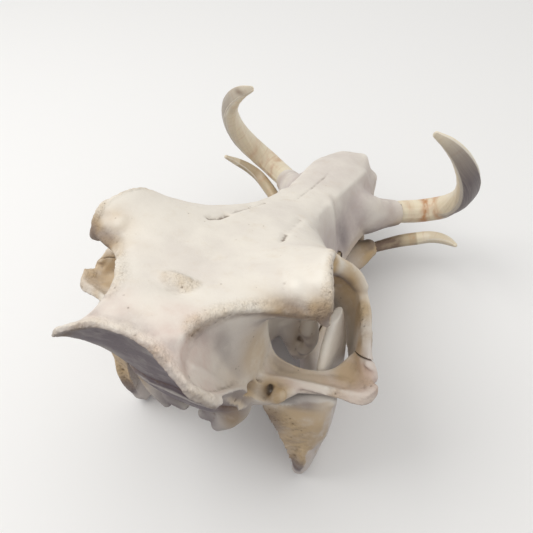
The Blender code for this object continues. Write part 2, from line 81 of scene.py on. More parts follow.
# Braincase and snout: half sections at stations along Y, from the roof's midline over the edge of the
# roof and down the side wall to the base's midline, as (x, z).
CORE_SECTIONS = (
    (-4, ((0, 228), (12, 228), (22, 226.5), (31, 221.5), (37, 215),
          (43, 207), (47, 200), (44, 196), (25, 208), (0, 217))),
    (3, ((0, 229), (11, 229), (20, 228), (26.5, 224.5), (31, 216),
         (38, 204), (46, 193), (43, 188), (24, 194), (0, 199))),
    (12, ((0, 229), (11, 229), (20, 228), (25.8, 226), (28, 217),
          (33, 203), (43, 184), (42, 176), (24, 174), (0, 176))),
    (24, ((0, 227), (12, 227.5), (22, 227.5), (28.8, 225.6), (30, 214),
          (33, 200), (41, 174), (43, 160), (28, 150), (0, 148))),
    (38, ((0, 222.5), (14, 223.5), (28, 224.5), (38, 223), (37.5, 213),
          (37, 200), (41, 176), (45, 156), (34, 130), (0, 118))),
    (52, ((0, 219), (16, 220), (36, 221.5), (52, 216), (49, 208),
          (43, 198), (42, 178), (45, 157), (36, 122), (0, 108))),
    (66, ((0, 215.5), (20, 217.5), (50, 220), (78.5, 214), (76, 206),
          (50, 200), (42, 181), (43, 156), (34, 118), (0, 104))),
    (74, ((0, 213), (20, 215.5), (52, 222), (75.5, 227), (78, 217),
          (50, 204), (41, 182), (41, 154), (32, 114), (0, 102))),
    (90, ((0, 209), (22, 211), (52, 221), (70, 228), (70, 218),
          (48, 204), (33, 180), (31, 150), (27, 114), (0, 100))),
    (106, ((0, 204.5), (22, 206.5), (49, 215), (66.5, 222), (67, 213),
           (54, 201), (37, 178), (32, 150), (28, 114), (0, 98))),
    (120, ((0, 200), (20, 201), (42, 206), (60.5, 207), (66, 199),
           (65, 187), (57, 170), (50, 150), (36, 116), (0, 97))),
    (136, ((0, 195), (18, 195), (36, 195.5), (52, 193), (60, 185),
           (62, 173), (59, 158), (52, 140), (39, 110), (0, 96))),
    (155, ((0, 187.5), (15, 187), (30, 185.5), (42, 180), (49, 170),
           (52, 158), (51, 144), (47, 126), (38, 102), (0, 95))),
    (175, ((0, 179.5), (12, 179), (23, 177), (31, 172.5), (36, 162),
           (39, 150), (41, 134), (41, 116), (37, 96), (0, 94))),
    (200, ((0, 168), (9, 167.5), (18, 165.5), (24, 162), (29, 152),
           (32, 140), (35, 124), (37, 107), (35, 91), (0, 92))),
    (235, ((0, 156), (8, 155.5), (16, 154), (21.5, 151), (26, 142),
           (30, 130), (34, 115), (38, 100), (35, 87), (0, 90))),
    (265, ((0, 148), (8, 147.5), (16, 146), (22, 143.5), (27, 134),
           (31, 122), (37, 108), (40, 96), (36, 84), (0, 88))),
    (290, ((0, 143), (8, 142.5), (17, 141), (24, 138.5), (29, 129),
           (34, 117), (39, 105), (41, 93), (37, 82), (0, 86))),
    (320, ((0, 138), (8, 137), (17, 134), (23.5, 129.5), (28, 120),
           (32, 108), (35, 97), (36, 88), (32, 79), (0, 83))),
    (345, ((0, 129), (8, 127.5), (15, 123), (21, 117), (25, 109),
           (28, 100), (29, 92), (29, 84), (26, 76), (0, 80))),
    (362, ((0, 101), (7, 101), (14, 100), (20, 98), (24, 95),
           (26, 91), (26, 87), (25, 81), (20, 75), (0, 76))),
)

# Sweeps on the right side of the cranium, mirrored to the left: each key is x, y, z, half width and half
# height.
SIDE_SWEEPS = {
    "nuchal crest": (
        (0, -1, 224, 5, 5), (17, -4, 223.5, 5, 6), (24, -6, 221, 5, 6), (31, -8.5, 217, 5, 6.5),
        (38.5, -9.5, 211.5, 5, 6.5), (45, -5.5, 203, 5, 6), (47, -2, 198, 5, 6),
    ),
    "wing edge": (
        (46, -3, 198, 5, 6), (46, 5, 188, 4.5, 6), (45, 18, 172, 4.5, 7), (42, 32, 154, 6, 9),
        (38, 42, 138, 8, 9),
    ),
    "glenoid": (
        (50, 50, 145, 6, 5), (64, 61, 142.5, 7, 3.2), (80, 68, 142.5, 7, 3.2), (94, 73, 142, 6, 3.5),
    ),
    "ear tube": ((42, 40, 149, 6, 9), (52, 44, 144, 5.5, 7.5), (60, 50, 143.5, 5, 5), (66, 56, 144, 4, 4)),
    "paraoccipital process": (
        (38, 38, 142, 8, 10), (34, 38, 126, 7, 10), (28, 37, 110, 6, 8), (20.5, 36, 96, 3.6, 4.5),
    ),
    "occipital condyle": ((18, 42, 118, 7, 7), (16, 39, 108, 7, 7), (9, 41, 98, 6, 5)),
    "postorbital process": (
        (60, 72, 217, 8, 8), (70, 70, 213, 7, 8), (76, 68, 210, 4.5, 6), (79, 66.5, 205, 2.8, 4.5),
    ),
    "orbit front rim": (
        (60, 112, 204, 7, 7), (67, 122, 194, 6, 6), (75, 129, 183, 5, 6), (82, 130, 174, 4, 5),
    ),
    "tusk sheath": (
        (24, 280, 107, 18, 25), (36, 293, 100, 17, 21), (48, 310, 93, 14.5, 15),
        (57, 320, 89.5, 12.8, 13.2),
    ),
    "tooth socket row": (
        (43, 131, 106, 8, 17), (42, 140, 104, 10, 16), (38, 160, 102, 11, 14), (35, 190, 98, 10, 12),
        (32, 225, 94, 9, 10), (31, 250, 90, 8, 8),
    ),
    "tuberosity": ((50, 122, 130, 6, 7), (52, 121, 116, 7, 7), (49, 121, 103, 7, 7), (45, 121, 92, 5, 6)),
    "pterygoid": ((36, 113, 134, 4, 8), (40, 117, 114, 3.5, 8), (43, 120, 97, 3, 7), (44, 122, 86, 2.5, 5)),
}
# Curved plates on the right side, mirrored to the left: each row runs across the plate, and each key is
# x, y, z and half the plate's thickness.
SIDE_SHEETS = {
    "cheek": (
        ((60, 124, 200, 4), (55, 132, 178, 7), (54, 140, 155, 8), (50, 148, 135, 6), (44, 152, 120, 4)),
        ((74, 131, 184, 3.5), (70, 135, 168, 5), (67, 139, 150, 6), (63, 144, 133, 5), (58, 147, 119, 3)),
        ((83, 129, 173, 3.5), (81, 131, 160, 4.5), (80, 132, 146, 5), (77, 135, 130, 4.5), (72, 137, 117, 3)),
        ((90, 118, 168, 3.5), (89, 119, 157, 4.5), (88, 120, 145, 4.5), (86, 122, 130, 4), (82, 125, 117, 3)),
        ((95, 105, 166, 3.5), (95, 105, 156, 4.5), (95, 105, 145, 4.5), (93, 107, 131, 4), (89, 110, 120, 3)),
        ((98.5, 95, 164, 3), (99.5, 94, 155, 4), (100, 93, 146, 4.5), (98, 95, 137, 4), (93, 99, 128, 3)),
        ((101, 87, 154, 3), (106, 86, 150, 4), (109, 84, 145, 4.5), (106, 85, 138, 4), (101, 90, 133, 3)),
    ),
    "temporal trough": (
        ((32, 84, 156, 4), (32, 70, 156, 5), (32, 56, 160, 5), (34, 42, 164, 5)),
        ((44, 76, 146, 2.5), (46, 68, 142, 3), (48, 60, 143, 3.5), (48, 50, 150, 4)),
        ((58, 74, 143.5, 2), (60, 69, 140.5, 2.5), (60, 63, 141.5, 3), (60, 56.5, 149, 2.6)),
        ((72, 76, 143, 2), (73, 71.5, 140.5, 2.5), (74, 66, 141.5, 3), (75, 60, 148.5, 2.6)),
        ((84, 84, 143.5, 2), (87, 78.5, 140.5, 2.5), (90, 71, 141, 3), (92, 63.5, 147.5, 3)),
        ((90, 95, 147, 2), (96, 88, 142, 3), (103, 78, 141, 4), (109.5, 68, 145.5, 4.5)),
        ((94, 102, 150, 2), (101, 95, 146, 3), (108, 86, 144, 4.5), (115, 79, 145, 4.5)),
    ),
}
# Back wall of the braincase, a stack of level rings: each key is x, y, z, half width, half depth.
OCCIPUT = (
    (0, 2, 214, 34, 9), (0, 14, 190, 40, 9), (0, 26, 160, 42, 10), (0, 36, 132, 38, 12),
    (0, 45, 110, 22, 11),
)

# Hollows in the middle of the cranium, cut out of the welded bone.
CRANIUM_HOLLOWS = {
    "nose_opening": (
        (0, 385, 112, 13, 13), (0, 356, 112, 14, 13), (0, 335, 113, 14, 13), (0, 312, 115, 10, 10),
    ),
    "foramen_magnum": ((0, 10, 110, 10, 10), (0, 34, 112, 10, 10), (0, 62, 118, 9, 9)),
}

# Mandible, its right side mirrored to the left. The rami are stacks with level rings, and the body and
# the chin are stacks with rings across Y: each key is x, y, z, half width and half depth. The condyle
# and the tusk's sheath are sweeps.
RAMUS = (
    (72, 80, 23, 5, 10), (73, 77, 29, 7, 17), (74.5, 76, 42, 8, 23), (77, 78, 62, 8, 28),
    (78, 83, 86, 7, 31), (78, 88, 108, 7, 29), (77, 94, 126, 6, 26), (75.5, 99, 142, 5.5, 21),
    (74, 104, 154, 4.5, 16), (73, 109, 165, 3, 8),
)
CONDYLE = ((53, 50, 129, 5, 4.5), (63, 55, 131, 6, 5), (77, 61.5, 133.5, 7, 5), (89, 66, 134.5, 5.5, 4.5))
# The heel of the ramus, a stack of flat-sided level rings: at each z the corners as (x, y), from the back's
# inner edge over its outer edge, round the outer strip and back along the inside.
JAW_HEEL = (
    (135, ((51, 44), (87, 57), (92, 64), (90, 74), (60, 60))),
    (126, ((51.5, 44), (88, 56), (93, 63), (91, 75), (60, 60))),
    (113, ((57, 45), (87.5, 55), (92.5, 62.5), (90, 77), (64, 62))),
    (96, ((62, 47), (84.5, 54.5), (91, 63.5), (88, 80), (68, 67))),
    (75, ((66, 50), (81, 55.5), (88, 65), (86, 84), (71, 73))),
    (55, ((68.5, 54), (76.5, 57.5), (85, 66.5), (84, 88), (71, 80))),
    (40, ((68.5, 58), (73, 60.5), (81.5, 68), (81, 90), (69, 85))),
    (26, ((67.5, 61), (70, 62.5), (77.5, 70), (77, 92), (68, 88))),
)
JAW_BODY = (
    (74, 78, 50, 8, 25), (70, 98, 51, 9.5, 27), (60, 122, 50, 11, 25), (47, 150, 48, 12.5, 22),
    (39, 180, 47, 13, 21.5), (33, 210, 46, 13, 22), (27, 235, 45, 12, 21.5), (24, 260, 49, 12, 19),
)
SYMPHYSIS = (
    (0, 214, 40, 20, 10), (0, 232, 43, 34, 19), (0, 255, 46, 37, 22), (0, 278, 51, 40, 21),
    (0, 300, 57, 38, 17), (0, 320, 62, 31, 12), (0, 334, 66, 27, 8),
)
JAW_TUSK_SHEATH = ((24, 262, 52, 14, 15), (36, 276, 58, 14, 15), (46, 289, 62, 9.5, 10))

# Tusks from the root to the tip: each key is x, y, z, half width and half height.
UPPER_TUSK = (
    (38, 303, 96, 9, 9), (50, 315, 91, 10, 10), (64, 328, 88, 10.8, 11.3), (78, 337, 87.5, 11, 11.5),
    (91, 342, 91, 11, 11.5), (103, 341, 99, 11, 11.5), (112, 334, 112, 11, 11.5),
    (117.5, 323, 130, 10.5, 11), (118.5, 311, 150, 10, 10.5), (115, 301, 169, 9, 9.5),
    (107, 296, 184, 7.5, 8), (96, 293, 195, 5.5, 6), (84, 290, 202.5, 2.5, 3),
)
LOWER_TUSK_RIGHT = (
    (32, 274, 58, 4.6, 4.6), (44, 286, 62, 5, 5), (58, 300, 63.5, 5.4, 5.6), (72, 312, 65, 6, 6.2),
    (85, 319, 67.5, 6, 6.4), (97, 322, 72, 5.6, 6), (108, 318, 78, 5, 5.2), (117, 309, 85, 3.6, 4),
    (124, 298, 92, 1.8, 2),
)
LOWER_TUSK_LEFT = (
    (32, 274, 58, 4.6, 4.6), (44, 286, 62, 5, 5), (57, 301, 65.5, 5.4, 5.6), (70, 314, 69, 6, 6.2),
    (83, 322, 74, 6, 6.4), (95, 326, 81, 5.6, 6), (106, 323, 90, 5, 5.2), (116, 315, 100, 3.6, 4),
    (123, 305, 110, 1.8, 2),
)

# Cheek teeth from the front: y of the middle, half length, half width. The last molar is by far the
# longest.
CHEEK_TEETH = {"premolar": (224, 6.5, 5.5), "first_molar": (209, 7.0, 6.5), "last_molar": (170, 30.0, 7.5)}
# The tooth row's two ends as (x, y), and the z of each tooth's root and crown.
ROW_BACK = (39.0, 140.0)
ROW_FRONT = (31.5, 230.0)
UPPER_ROOT_AND_CROWN = (104.0, 80.0)
LOWER_ROOT_AND_CROWN = (58.0, 79.4)
# A cheek tooth from root to crown: the share of its height, and how full it is there.
TOOTH_SWELL = ((0.0, 0.86), (0.4, 0.95), (0.8, 1.0), (1.0, 0.93))
TOOTH_SQUARENESS = 3.2
TOOTH_SIDES = 240
# About how much of a tooth's half length one fold takes.
FOLD_LENGTH = 2.6
UPPER_INCISOR = ((9, 349, 86, 4.2, 4.0), (8.8, 353, 77, 4.2, 3.8), (8, 356, 69, 3.0, 2.4))
# Lower incisors: the x of each at its root, and a tooth's keys as spread, y, z, half width, half height.
LOWER_INCISORS = (4.5, 12.5, 20.0)
LOWER_INCISOR = (
    (1.0, 314, 63, 3.0, 3.6), (1.1, 330, 67, 3.2, 3.8), (1.15, 343, 72, 3.0, 2.6),
    (1.16, 348, 74.5, 1.8, 1.4),
)
# The z of a peg's root and tip, for its stains.
UPPER_PEG_ENDS = (86, 66)
LOWER_PEG_ENDS = (62, 76)
PEG_SIDES = 32

# Room round a tooth or tusk in its socket.
SOCKET_GAP = 0.7
UPPER_SOCKET_SIDES = 40
LOWER_SOCKET_SIDES = 32
# The edge of the hollow behind the nuchal crest and the rows below it, from the middle to the right.
NECK_HOLLOW = (
    ((0, -5, 228.5), (17, -8, 229), (31, -12, 223), (41, -12.5, 214), (51, -8.5, 203)),
    ((0, 1.5, 220), (17, 0, 219.5), (31, -3, 212.5), (41, -3, 203.5), (51, 0, 193)),
    ((0, 8, 200), (16, 7.5, 198), (29, 7, 193), (40, 9, 184), (50, 11, 176)),
    ((0, 16, 170), (14, 16, 168), (27, 17, 164), (37, 20, 160), (46, 24, 155)),
    ((0, 25, 144), (13, 25, 142), (24, 26, 141), (33, 29, 140), (41, 34, 140)),
)
# The way from the hollow's surface out behind the skull.
NECK_WAY_OUT = (0, -45, -8)
# The cut under the edge that joins the nuchal crest and the ear.
WING_CUT = (
    (55, -14, 193, 7, 7), (53, -1, 189.5, 9, 9), (51, 11, 176.5, 9, 9), (50.5, 22.5, 162.5, 9, 9),
    (51, 31, 150, 7, 7),
)
# The ear: a shallow bowl, a ball of bone in it and the hole beside the ball.
EAR_BOWL = ((40, 35, 159, 3, 3), (46, 39, 154.5, 5, 4.5), (55, 42, 151, 7, 6), (63, 45, 149.5, 6, 5))
EAR_BALL = ((57, 47, 143, 5, 5), (60, 47, 145.5, 5.6, 5.6), (62, 47, 147, 4.5, 4.5))
EAR_HOLE = ((53.5, 42, 154, 2.2, 3.5), (54.5, 47, 148, 2.4, 3.8), (53.5, 52, 143, 2, 3))
# The open sutures of the cheek arches: where each runs on the bone, the way in, its depth and half width.
ARCH_CRACKS = (
    (((90, 96, 157), (95.7, 92, 154.5), (99, 90.3, 156), (102, 89.5, 157), (106, 91, 155), (110, 93, 151),
      (114, 95, 146)), (-0.31, 0.64, -0.70), 9.0, 0.75),
    (((-92, 95, 158), (-97, 92, 157.5), (-101, 89.5, 157), (-106, 86, 155.5), (-113, 79, 151)),
     (0.2, 0.64, -0.74), 8.0, 0.5),
)
# How far a suture's wedge stands out of the bone, and how far it wanders from its path.
CRACK_REACH = 4
CRACK_WANDER = 0.35
# The looks of the tusks, with places as shares of the way from root to tip. A worn face looks along its
# guides (place, x, y, z) within edge_angle, is cut flat by the share cut and hollowed, and begins at start.
# spread carries its stain past its edge and brings painted shade under the tusk, groove is painted shade
# along its edge, and tone is how dark it is (place, tone).
# bands are stained rings (place, width, strength), clean cream begins at cream_from, the dark root ends at
# root_to, and spots are dark marks (middle, radii, share).
RIGHT_WORN = (
    (0.0, 0.9, -0.4, -0.4), (0.45, 0.89, -0.4, -0.22), (0.7, 0.7, -0.7, -0.1), (0.85, 0.42, -0.86, 0.03),
    (1.0, 0.2, -0.95, 0.15),
)
LEFT_WORN = (
    (0.0, 0.9, -0.4, -0.4), (0.45, 0.95, -0.3, -0.25), (0.7, 0.9, -0.45, -0.2), (1.0, 0.75, -0.6, 0.1),
)
LOWER_LOOK = {
    "guides": ((0.0, 0.2, -0.3, 1.0), (1.0, 0.2, -0.5, 0.9)), "edge_angle": 50, "cut": 0.35, "hollow": 0.05,
    "start": 0.55, "spread": 0, "groove_shade": 0, "tone": ((0.0, 0.15), (1.0, 0.1)), "spots": (),
}
TUSK_LOOKS = {
    "upper_right": {
        "guides": RIGHT_WORN, "edge_angle": 58, "cut": 0.4, "hollow": 0.08, "start": 0.36, "spread": 0.25,
        "groove_shade": 0.2, "tone": ((0.36, 0.8), (0.5, 1.0), (0.72, 1.0), (0.86, 0.75), (0.98, 0.3)),
        "bands": ((0.285, 0.03, 1.0), (0.375, 0.035, 0.7), (0.19, 0.02, 0.3)),
        "cream_from": 0.05, "root_to": 0.16,
        "spots": (((118, 318, 128), (3, 3, 12), 0.6), ((113, 302, 170), (2, 3, 6), 0.4)),
    },
    "upper_left": {
        "guides": LEFT_WORN, "edge_angle": 58, "cut": 0.4, "hollow": 0.08, "start": 0.4, "spread": 0,
        "groove_shade": 0.6, "tone": ((0.4, 0.3), (0.6, 0.6), (0.8, 0.65), (0.95, 0.4)),
        "bands": ((0.34, 0.05, 0.35), (0.25, 0.03, 0.5), (0.47, 0.03, 0.3)),
        "cream_from": 0.12, "root_to": 0.12,
        "spots": (((-97, 289, 197), (8, 5, 2.5), 0.8), ((-107, 294, 180), (2.5, 4, 8), 0.6)),
    },
    "lower_right": {**LOWER_LOOK, "bands": ((0.47, 0.02, 0.4),), "cream_from": 0.51, "root_to": 0.42},
    "lower_left": {
        **LOWER_LOOK, "bands": ((0.6, 0.1, 0.25), (0.35, 0.06, 0.3)), "cream_from": 0.86, "root_to": 0.3,
    },
}
# The little flutes and rings of a tusk, as shares of its radius: (height, waves round the tusk, start).
FLUTES = ((0.012, 9, 2), (0.008, 17, 1), (0.005, 31, 0))
RING_HEIGHT = 0.003
RING_WAVES = 120
# The camera of the photograph: its place in the object's millimetres, and the ways right and ahead.
CAMERA_PLACE = (138.5, -302.1, 423.3)
CAMERA_RIGHT = (0.89506, 0.44592, 0.00479)
CAMERA_FORWARD = (-0.31382, 0.63746, -0.70368)

# Lines on the right of the cranium that its relief and its rough bands follow.
CREST_LINE = ((0, -5, 227), (17, -8, 228), (24, -10, 226), (30.5, -12, 222), (38.5, -13, 217), (47, -8, 206))
BROW_LINE = ((27, 17.7, 226), (32.6, 30.8, 224.5), (43.4, 44, 221.5), (62, 59, 216), (76, 66, 212))
RIM_LINE = ((78, 68, 218), (77, 74, 227), (75, 81, 228), (73, 89, 228), (71, 97, 226), (68, 108, 220))
NASAL_EDGE = (
    (24, 194, 166), (21.8, 213, 159), (21.2, 236, 152), (22.1, 263, 144), (24.2, 289, 139),
    (23.6, 320, 129.5),
)
GROOVE_LINE = ((27, 123, 199.5), (25.5, 131, 195.5), (23.7, 139, 191.5), (21.6, 152, 186), (20, 168, 180))
SNOUT_CREASE = ((22, 240, 150), (27.3, 235.5, 138), (31.4, 230, 127), (35, 227, 113), (37, 222, 100))
CHEEK_SUTURE = ((64, 118, 206), (70, 130, 180), (72, 136, 160), (66, 141, 140), (58, 146, 122))
TEMPORAL_EDGE = (
    (39.6, -9.5, 214), (35, -7, 218), (31.6, -4.4, 220.5), (28.7, -1, 223), (26.5, 2.7, 225),
    (25.6, 7, 226), (26, 12.3, 226), (26.8, 17.7, 225.7), (29, 23.7, 225), (33, 30.8, 224),
    (37.8, 37.4, 222.5), (44, 44.5, 220.5), (52, 52, 216), (65, 59, 214), (77, 66, 213),
)
TEMPORAL_UNDERCUT = (
    (36, -3, 212), (31, 3, 217), (29.5, 10, 218), (30, 18, 218), (33, 26, 217), (37, 34, 216),
    (42, 42, 214), (50, 52, 208), (60, 62, 206),
)
# Relief that lies on both sides: ("line", keys, width, height) or ("blot", middle, radii, height). A
# negative height is a crease or a hole.
CRANIUM_RELIEF = (
    ("blot", (52, 114, 126), (5, 6, 4.5), 3.2),
    ("blot", (54, 117, 117), (3.5, 5, 4), 1.8),
    ("blot", (47, 115, 113), (3.5, 5, 4.5), -2.4),
    ("blot", (50, 115, 104), (4, 5, 4), 2.0),
    ("blot", (43, 115, 96), (3.5, 5, 4), 1.6),
    ("blot", (53, 116, 96), (3, 5, 5), -1.8),
    ("line", TEMPORAL_EDGE, 3.0, 0.5),
    ("line", TEMPORAL_UNDERCUT, 5.0, -1.0),
    ("line", SNOUT_CREASE, 4.6, -2.2),
    ("blot", (35, 238, 124), (8, 8, 18), -3.4),
    ("line", NASAL_EDGE, 3.0, 0.8),
    ("line", ((24, 226, 152), (30, 219, 142), (36, 213, 128), (40, 208, 112)), 5.0, 1.8),
    ("blot", (50, 309, 106), (4, 5, 4), 1.8),
    ("blot", (43, 300, 112), (5, 5, 5), 1.4),
    ("blot", (40, 296, 84), (8, 6, 6), 1.0),
    ("blot", (23, 347, 113), (6, 6, 4), -1.4),
    ("blot", (25, 350, 103), (6, 7, 6), 2.8),
    ("blot", (29, 338, 97), (5, 5, 5), -2.2),
    ("blot", (24, 330, 117), (5, 6, 5), -1.6),
    ("blot", (28, 305, 122), (6, 9, 6), -1.8),
    ("line", CHEEK_SUTURE, 0.8, -0.5),
    ("line", GROOVE_LINE, 3.0, -1.2),
    ("line", ((33, 172, 176), (38, 195, 152), (41, 225, 133)), 6.0, -1.2),
    ("line", ((60, 130, 172), (66, 127, 160)), 2.0, -1.0),
    ("blot", (57, 150, 147), (4.5, 6, 5), -5.0),
    ("blot", (34, 28, 196), (9, 9, 22), -1.6),
)
# Relief that only one side or the middle has.
CRANIUM_MARKS = (
    ("blot", (14, 345, 127), (7, 7, 6), 4.6),
    ("line", ((0, 345, 131), (0, 310, 138), (0, 284, 143), (0, 236, 155), (0, 205, 165)), 0.8, -0.8),
    ("blot", (-1, 46, 221), (9, 4.5, 8), 3.4),
    ("blot", (2, 37, 222), (10, 5, 6), -1.8),
    ("line", ((-26, 118, 202), (-22.5, 124, 200), (-21, 134, 196.5)), 2.4, -2.8),
    ("line", ((-21, 134, 196.5), (-19, 150, 189), (-17, 166, 183), (-15, 180, 176)), 2.2, -1.2),
    ("line", ((28, 117, 201.5), (26.5, 124, 199), (24.5, 132, 195)), 2.0, -2.4),
)
MANDIBLE_RELIEF = (
    ("line", ((40, 268, 78), (42, 230, 70), (46, 190, 66)), 5.0, -0.8),
    ("blot", (38, 262, 48), (3, 4, 3), -3.5),
    ("blot", (43, 250, 44), (2, 3, 2.5), -2.5),
    ("line", ((78, 58, 44), (85, 66, 70), (86, 82, 92)), 8.0, -1.6),
    ("line", ((70, 48, 88), (76, 47, 62), (74, 56, 40)), 5.0, -1.2),
    ("blot", (76, 90, 135), (16, 14, 18), -1.0),
)
# Rough and porous bands, as (keys, width), on both sides.
CRANIUM_BANDS = (
    (CREST_LINE, 11),
    (BROW_LINE, 10),
    (RIM_LINE, 6),
    (((76, 66, 212), (78, 66, 207)), 9),
    (((108, 78, 150), (112, 74, 145), (104, 70, 142), (92, 64, 144)), 9),
    (((88, 118, 166), (97, 100, 160)), 8),
    (((-7, 46, 224), (6, 44, 224)), 8),
)
MANDIBLE_BANDS = (
    (((60, 44, 120), (76, 44, 110), (76, 46, 80), (75, 52, 60)), 16),
    (((78, 60, 30), (76, 78, 24), (74, 94, 27)), 10),
)
# Stains and painted shade, as (middle, radii, share). CRANIUM_TAN_LEFT and PINK_STAINS lie where they say,
# and the others on both sides.
TAN_STAINS = (
    ((66, 69, 145), (30, 9, 6), 0.5),
    ((60, 57, 213), (20, 7, 6), 1.0),
    ((75, 66, 213), (9, 7, 8), 1.0),
    ((36, 30, 138), (8, 20, 32), 1.0),
    ((93, 82, 146), (10, 12, 8), 0.8),
    ((94, 93, 155), (5, 11, 12), 0.7),
    ((47, 40, 153), (9, 8, 6), 0.9),
    ((61, 47, 147), (8, 8, 6), 1.0),
    ((70, 124, 172), (14, 10, 34), 1.0),
    ((86, 118, 165), (8, 9, 18), 0.8),
    ((66, 108, 205), (4, 14, 12), 1.0),
    ((46, 118, 108), (14, 9, 26), 0.35),
    ((57, 47, 150), (10, 10, 7), 0.95),
    ((43, 52, 172), (7, 16, 20), 0.6),
    ((60, 316, 86), (12, 12, 8), 0.55),
    ((46, 308, 92), (14, 16, 8), 0.35),
    ((30, 250, 88), (16, 60, 12), 0.45),
    ((40, 150, 106), (12, 40, 14), 0.55),
    ((0, 250, 86), (26, 80, 6), 0.6),
)
CRANIUM_TAN_LEFT = (((-101, 87, 150), (18, 18, 16), 0.8), ((-64, 68, 222), (14, 10, 10), 0.3))
JAW_TAN = (
    ((76, 48, 96), (44, 22, 60), 0.85),
    ((44, 286, 62), (18, 22, 18), 1.0),
    ((40, 180, 72), (14, 60, 10), 0.5),
    ((0, 255, 28), (36, 50, 10), 0.4),
)
PINK_STAINS = (
    ((106, 80, 150), (16, 16, 14), 0.9),
    ((98, 70, 144), (20, 8, 6), 0.9),
    ((66, 58, 148), (26, 6, 5), 0.6),
    ((24, 2, 224), (22, 16, 14), 0.8),
    ((30, 14, 210), (8, 14, 16), 0.7),
    ((-20, 8, 226), (20, 12, 8), 0.5),
    ((18, 20, 227), (14, 10, 6), 0.5),
    ((44, 4, 200), (8, 12, 14), 0.5),
)
# Painted shade on faces that turn back, and anywhere on the snout: the occiput under the nuchal crest, the
# valley on the temporal wall, the brow's back facet, the snout's crease, and blots by the ear and in the
# fossa.
PAINTED_SHADE_BLOTS = (
    ((0, 40, 105), (34, 22, 30), 0.85),
    ((0, 0, 192), (64, 26, 52), 1.0),
    ((0, 20, 150), (56, 26, 46), 1.0),
    ((34, 29, 197), (6, 9, 20), 0.45),
    ((64, 60, 213), (24, 7, 7), 0.7),
    ((77, 66, 210), (8, 7, 9), 0.8),
    ((36, 238, 122), (7, 9, 20), 0.7),
    ((40, 44, 132), (14, 12, 22), 0.5),
    ((48, 88, 138), (16, 20, 20), 0.5),
)
# Painted shade on the mandible: the squamosal's shadow on the condyle's back, the heel's back, inner edge and
# foot, the lower tusk's sheath and the chin's underside.
JAW_PAINTED_SHADE = (
    ((78, 50, 138), (18, 9, 5), 0.85),
    ((79, 53, 51), (14, 12, 9), 1.0),
    ((46, 290, 60), (14, 16, 16), 0.75),
    ((56, 44, 112), (9, 8, 18), 0.9),
    ((76, 52, 56), (12, 8, 12), 0.9),
    ((70, 60, 26), (14, 20, 8), 0.6),
    ((20, 270, 40), (20, 30, 10), 0.3),
)
# Lilac tint, partly the bone's own and partly painted shade: the snout's lower sides and top, the sheath's
# lower half, the arch by its suture and the temporal wall.
LILAC_TINT_AND_SHADE = (
    ((30, 262, 112), (16, 95, 28), 1.0),
    ((0, 300, 138), (28, 70, 16), 0.5),
    ((42, 200, 135), (16, 55, 36), 0.9),
    ((48, 305, 92), (24, 28, 22), 0.9),
    ((104, 84, 156), (20, 26, 18), 0.8),
    ((60, 20, 175), (14, 26, 30), 0.5),
)
# Painted shade inside holes and gaps: the ear's hole, the gap under the ear's ball, the nose opening, the
# deep pit low on the cheek and the foramen magnum.
PAINTED_HOLE_SHADE = (
    ((54, 46, 149), (3, 4.5, 5), 0.9),
    ((63, 46, 138.5), (9, 5, 2.4), 0.95),
    ((0, 340, 112), (13, 22, 12), 0.8),
    ((57, 150, 147), (4, 5, 4.5), 0.8),
    ((0, 48, 113), (9, 18, 9), 0.9),
)

# The rings of a sweep's rounded end, and the sine of the angle to Z below which a sweep counts as upright.
DOME_RINGS = 4
STEEPEST = 0.05
# Rounds of averaging that show narrow hollows, wide ones, and the smooth form of the snout.
NARROW_ROUNDS = 6
WIDE_ROUNDS = 60
SNOUT_ROUNDS = 90
CROWN_ROUNDS = 5
# Where the snout's eased form fades in from behind, out towards the tip, and in above the sockets.
SNOUT_BACK = (125, 175)
SNOUT_TIP = (325, 345)
SNOUT_BASE = (100, 112)

# Colours that no setting changes: worn bone, the tusks' worn rims and tartar.
PALE_EDGE = (0.93, 0.89, 0.81, 1)
PALE_RIM = (0.9, 0.84, 0.72, 1)
TARTAR = (0.1, 0.06, 0.035)
# Pores painted on the bone: metres between them, and the share of that way that a pore's radius takes.
PORE_SPACING = 0.0048
PORE_SHARE = 0.13
COLOUR_SOCKET = "NodeSocketColor"
NUMBER_SOCKET = "NodeSocketFloat"

# The studio, in metres: the floor's half width and its squares in a row, the sky and the large light.
FLOOR_REACH = 4
FLOOR_CELLS = 8
SKY_BELOW = (0.27, 0.25, 0.27, 1)
SKY_ABOVE = (1.0, 0.99, 0.97, 1)
KEY_PLACE = (-0.75, -0.45, 1.3)
KEY_SIZE = 0.9
KEY_COLOUR = (1.0, 0.985, 0.96)


def catmull(points, per_span):
    """A Catmull-Rom curve through the points, with per_span samples to each span, as one array."""
    p = np.asarray(points, float)
    p = np.vstack([2 * p[0] - p[1], p, 2 * p[-1] - p[-2]])
    a, b, c, d = (p[k : len(p) - 3 + k, None] for k in range(4))
    t = np.linspace(0, 1, per_span, endpoint=False)[None, :, None]
    bend = 2 * a - 5 * b + 4 * c - d
    twist = 3 * b - a - 3 * c + d
    curve = 0.5 * (2 * b + (c - a) * t + bend * t**2 + twist * t**3)
    return np.vstack([curve.reshape(-1, p.shape[1]), p[-2:-1]])


def outward(points, faces):
    """The faces turned to point out, by the sign of the volume that they close in."""
    first, second, third, fourth = (points[faces[:, k]] for k in range(4))
    volume = (np.cross(second, third) * first).sum() + (np.cross(third, fourth) * first).sum()
    return faces if volume > 0 else faces[:, ::-1]


def ring_grid(count, sides):
    """Quads between neighbouring rings of a loft, as indices on a grid that closes round."""
    start = np.arange(count - 1)[:, None] * sides
    here = np.arange(sides)[None, :]
    after = (here + 1) % sides
    corners = (start + here, start + after, start + sides + after, start + sides + here)
    return np.stack(corners, axis=-1).reshape(-1, 4)


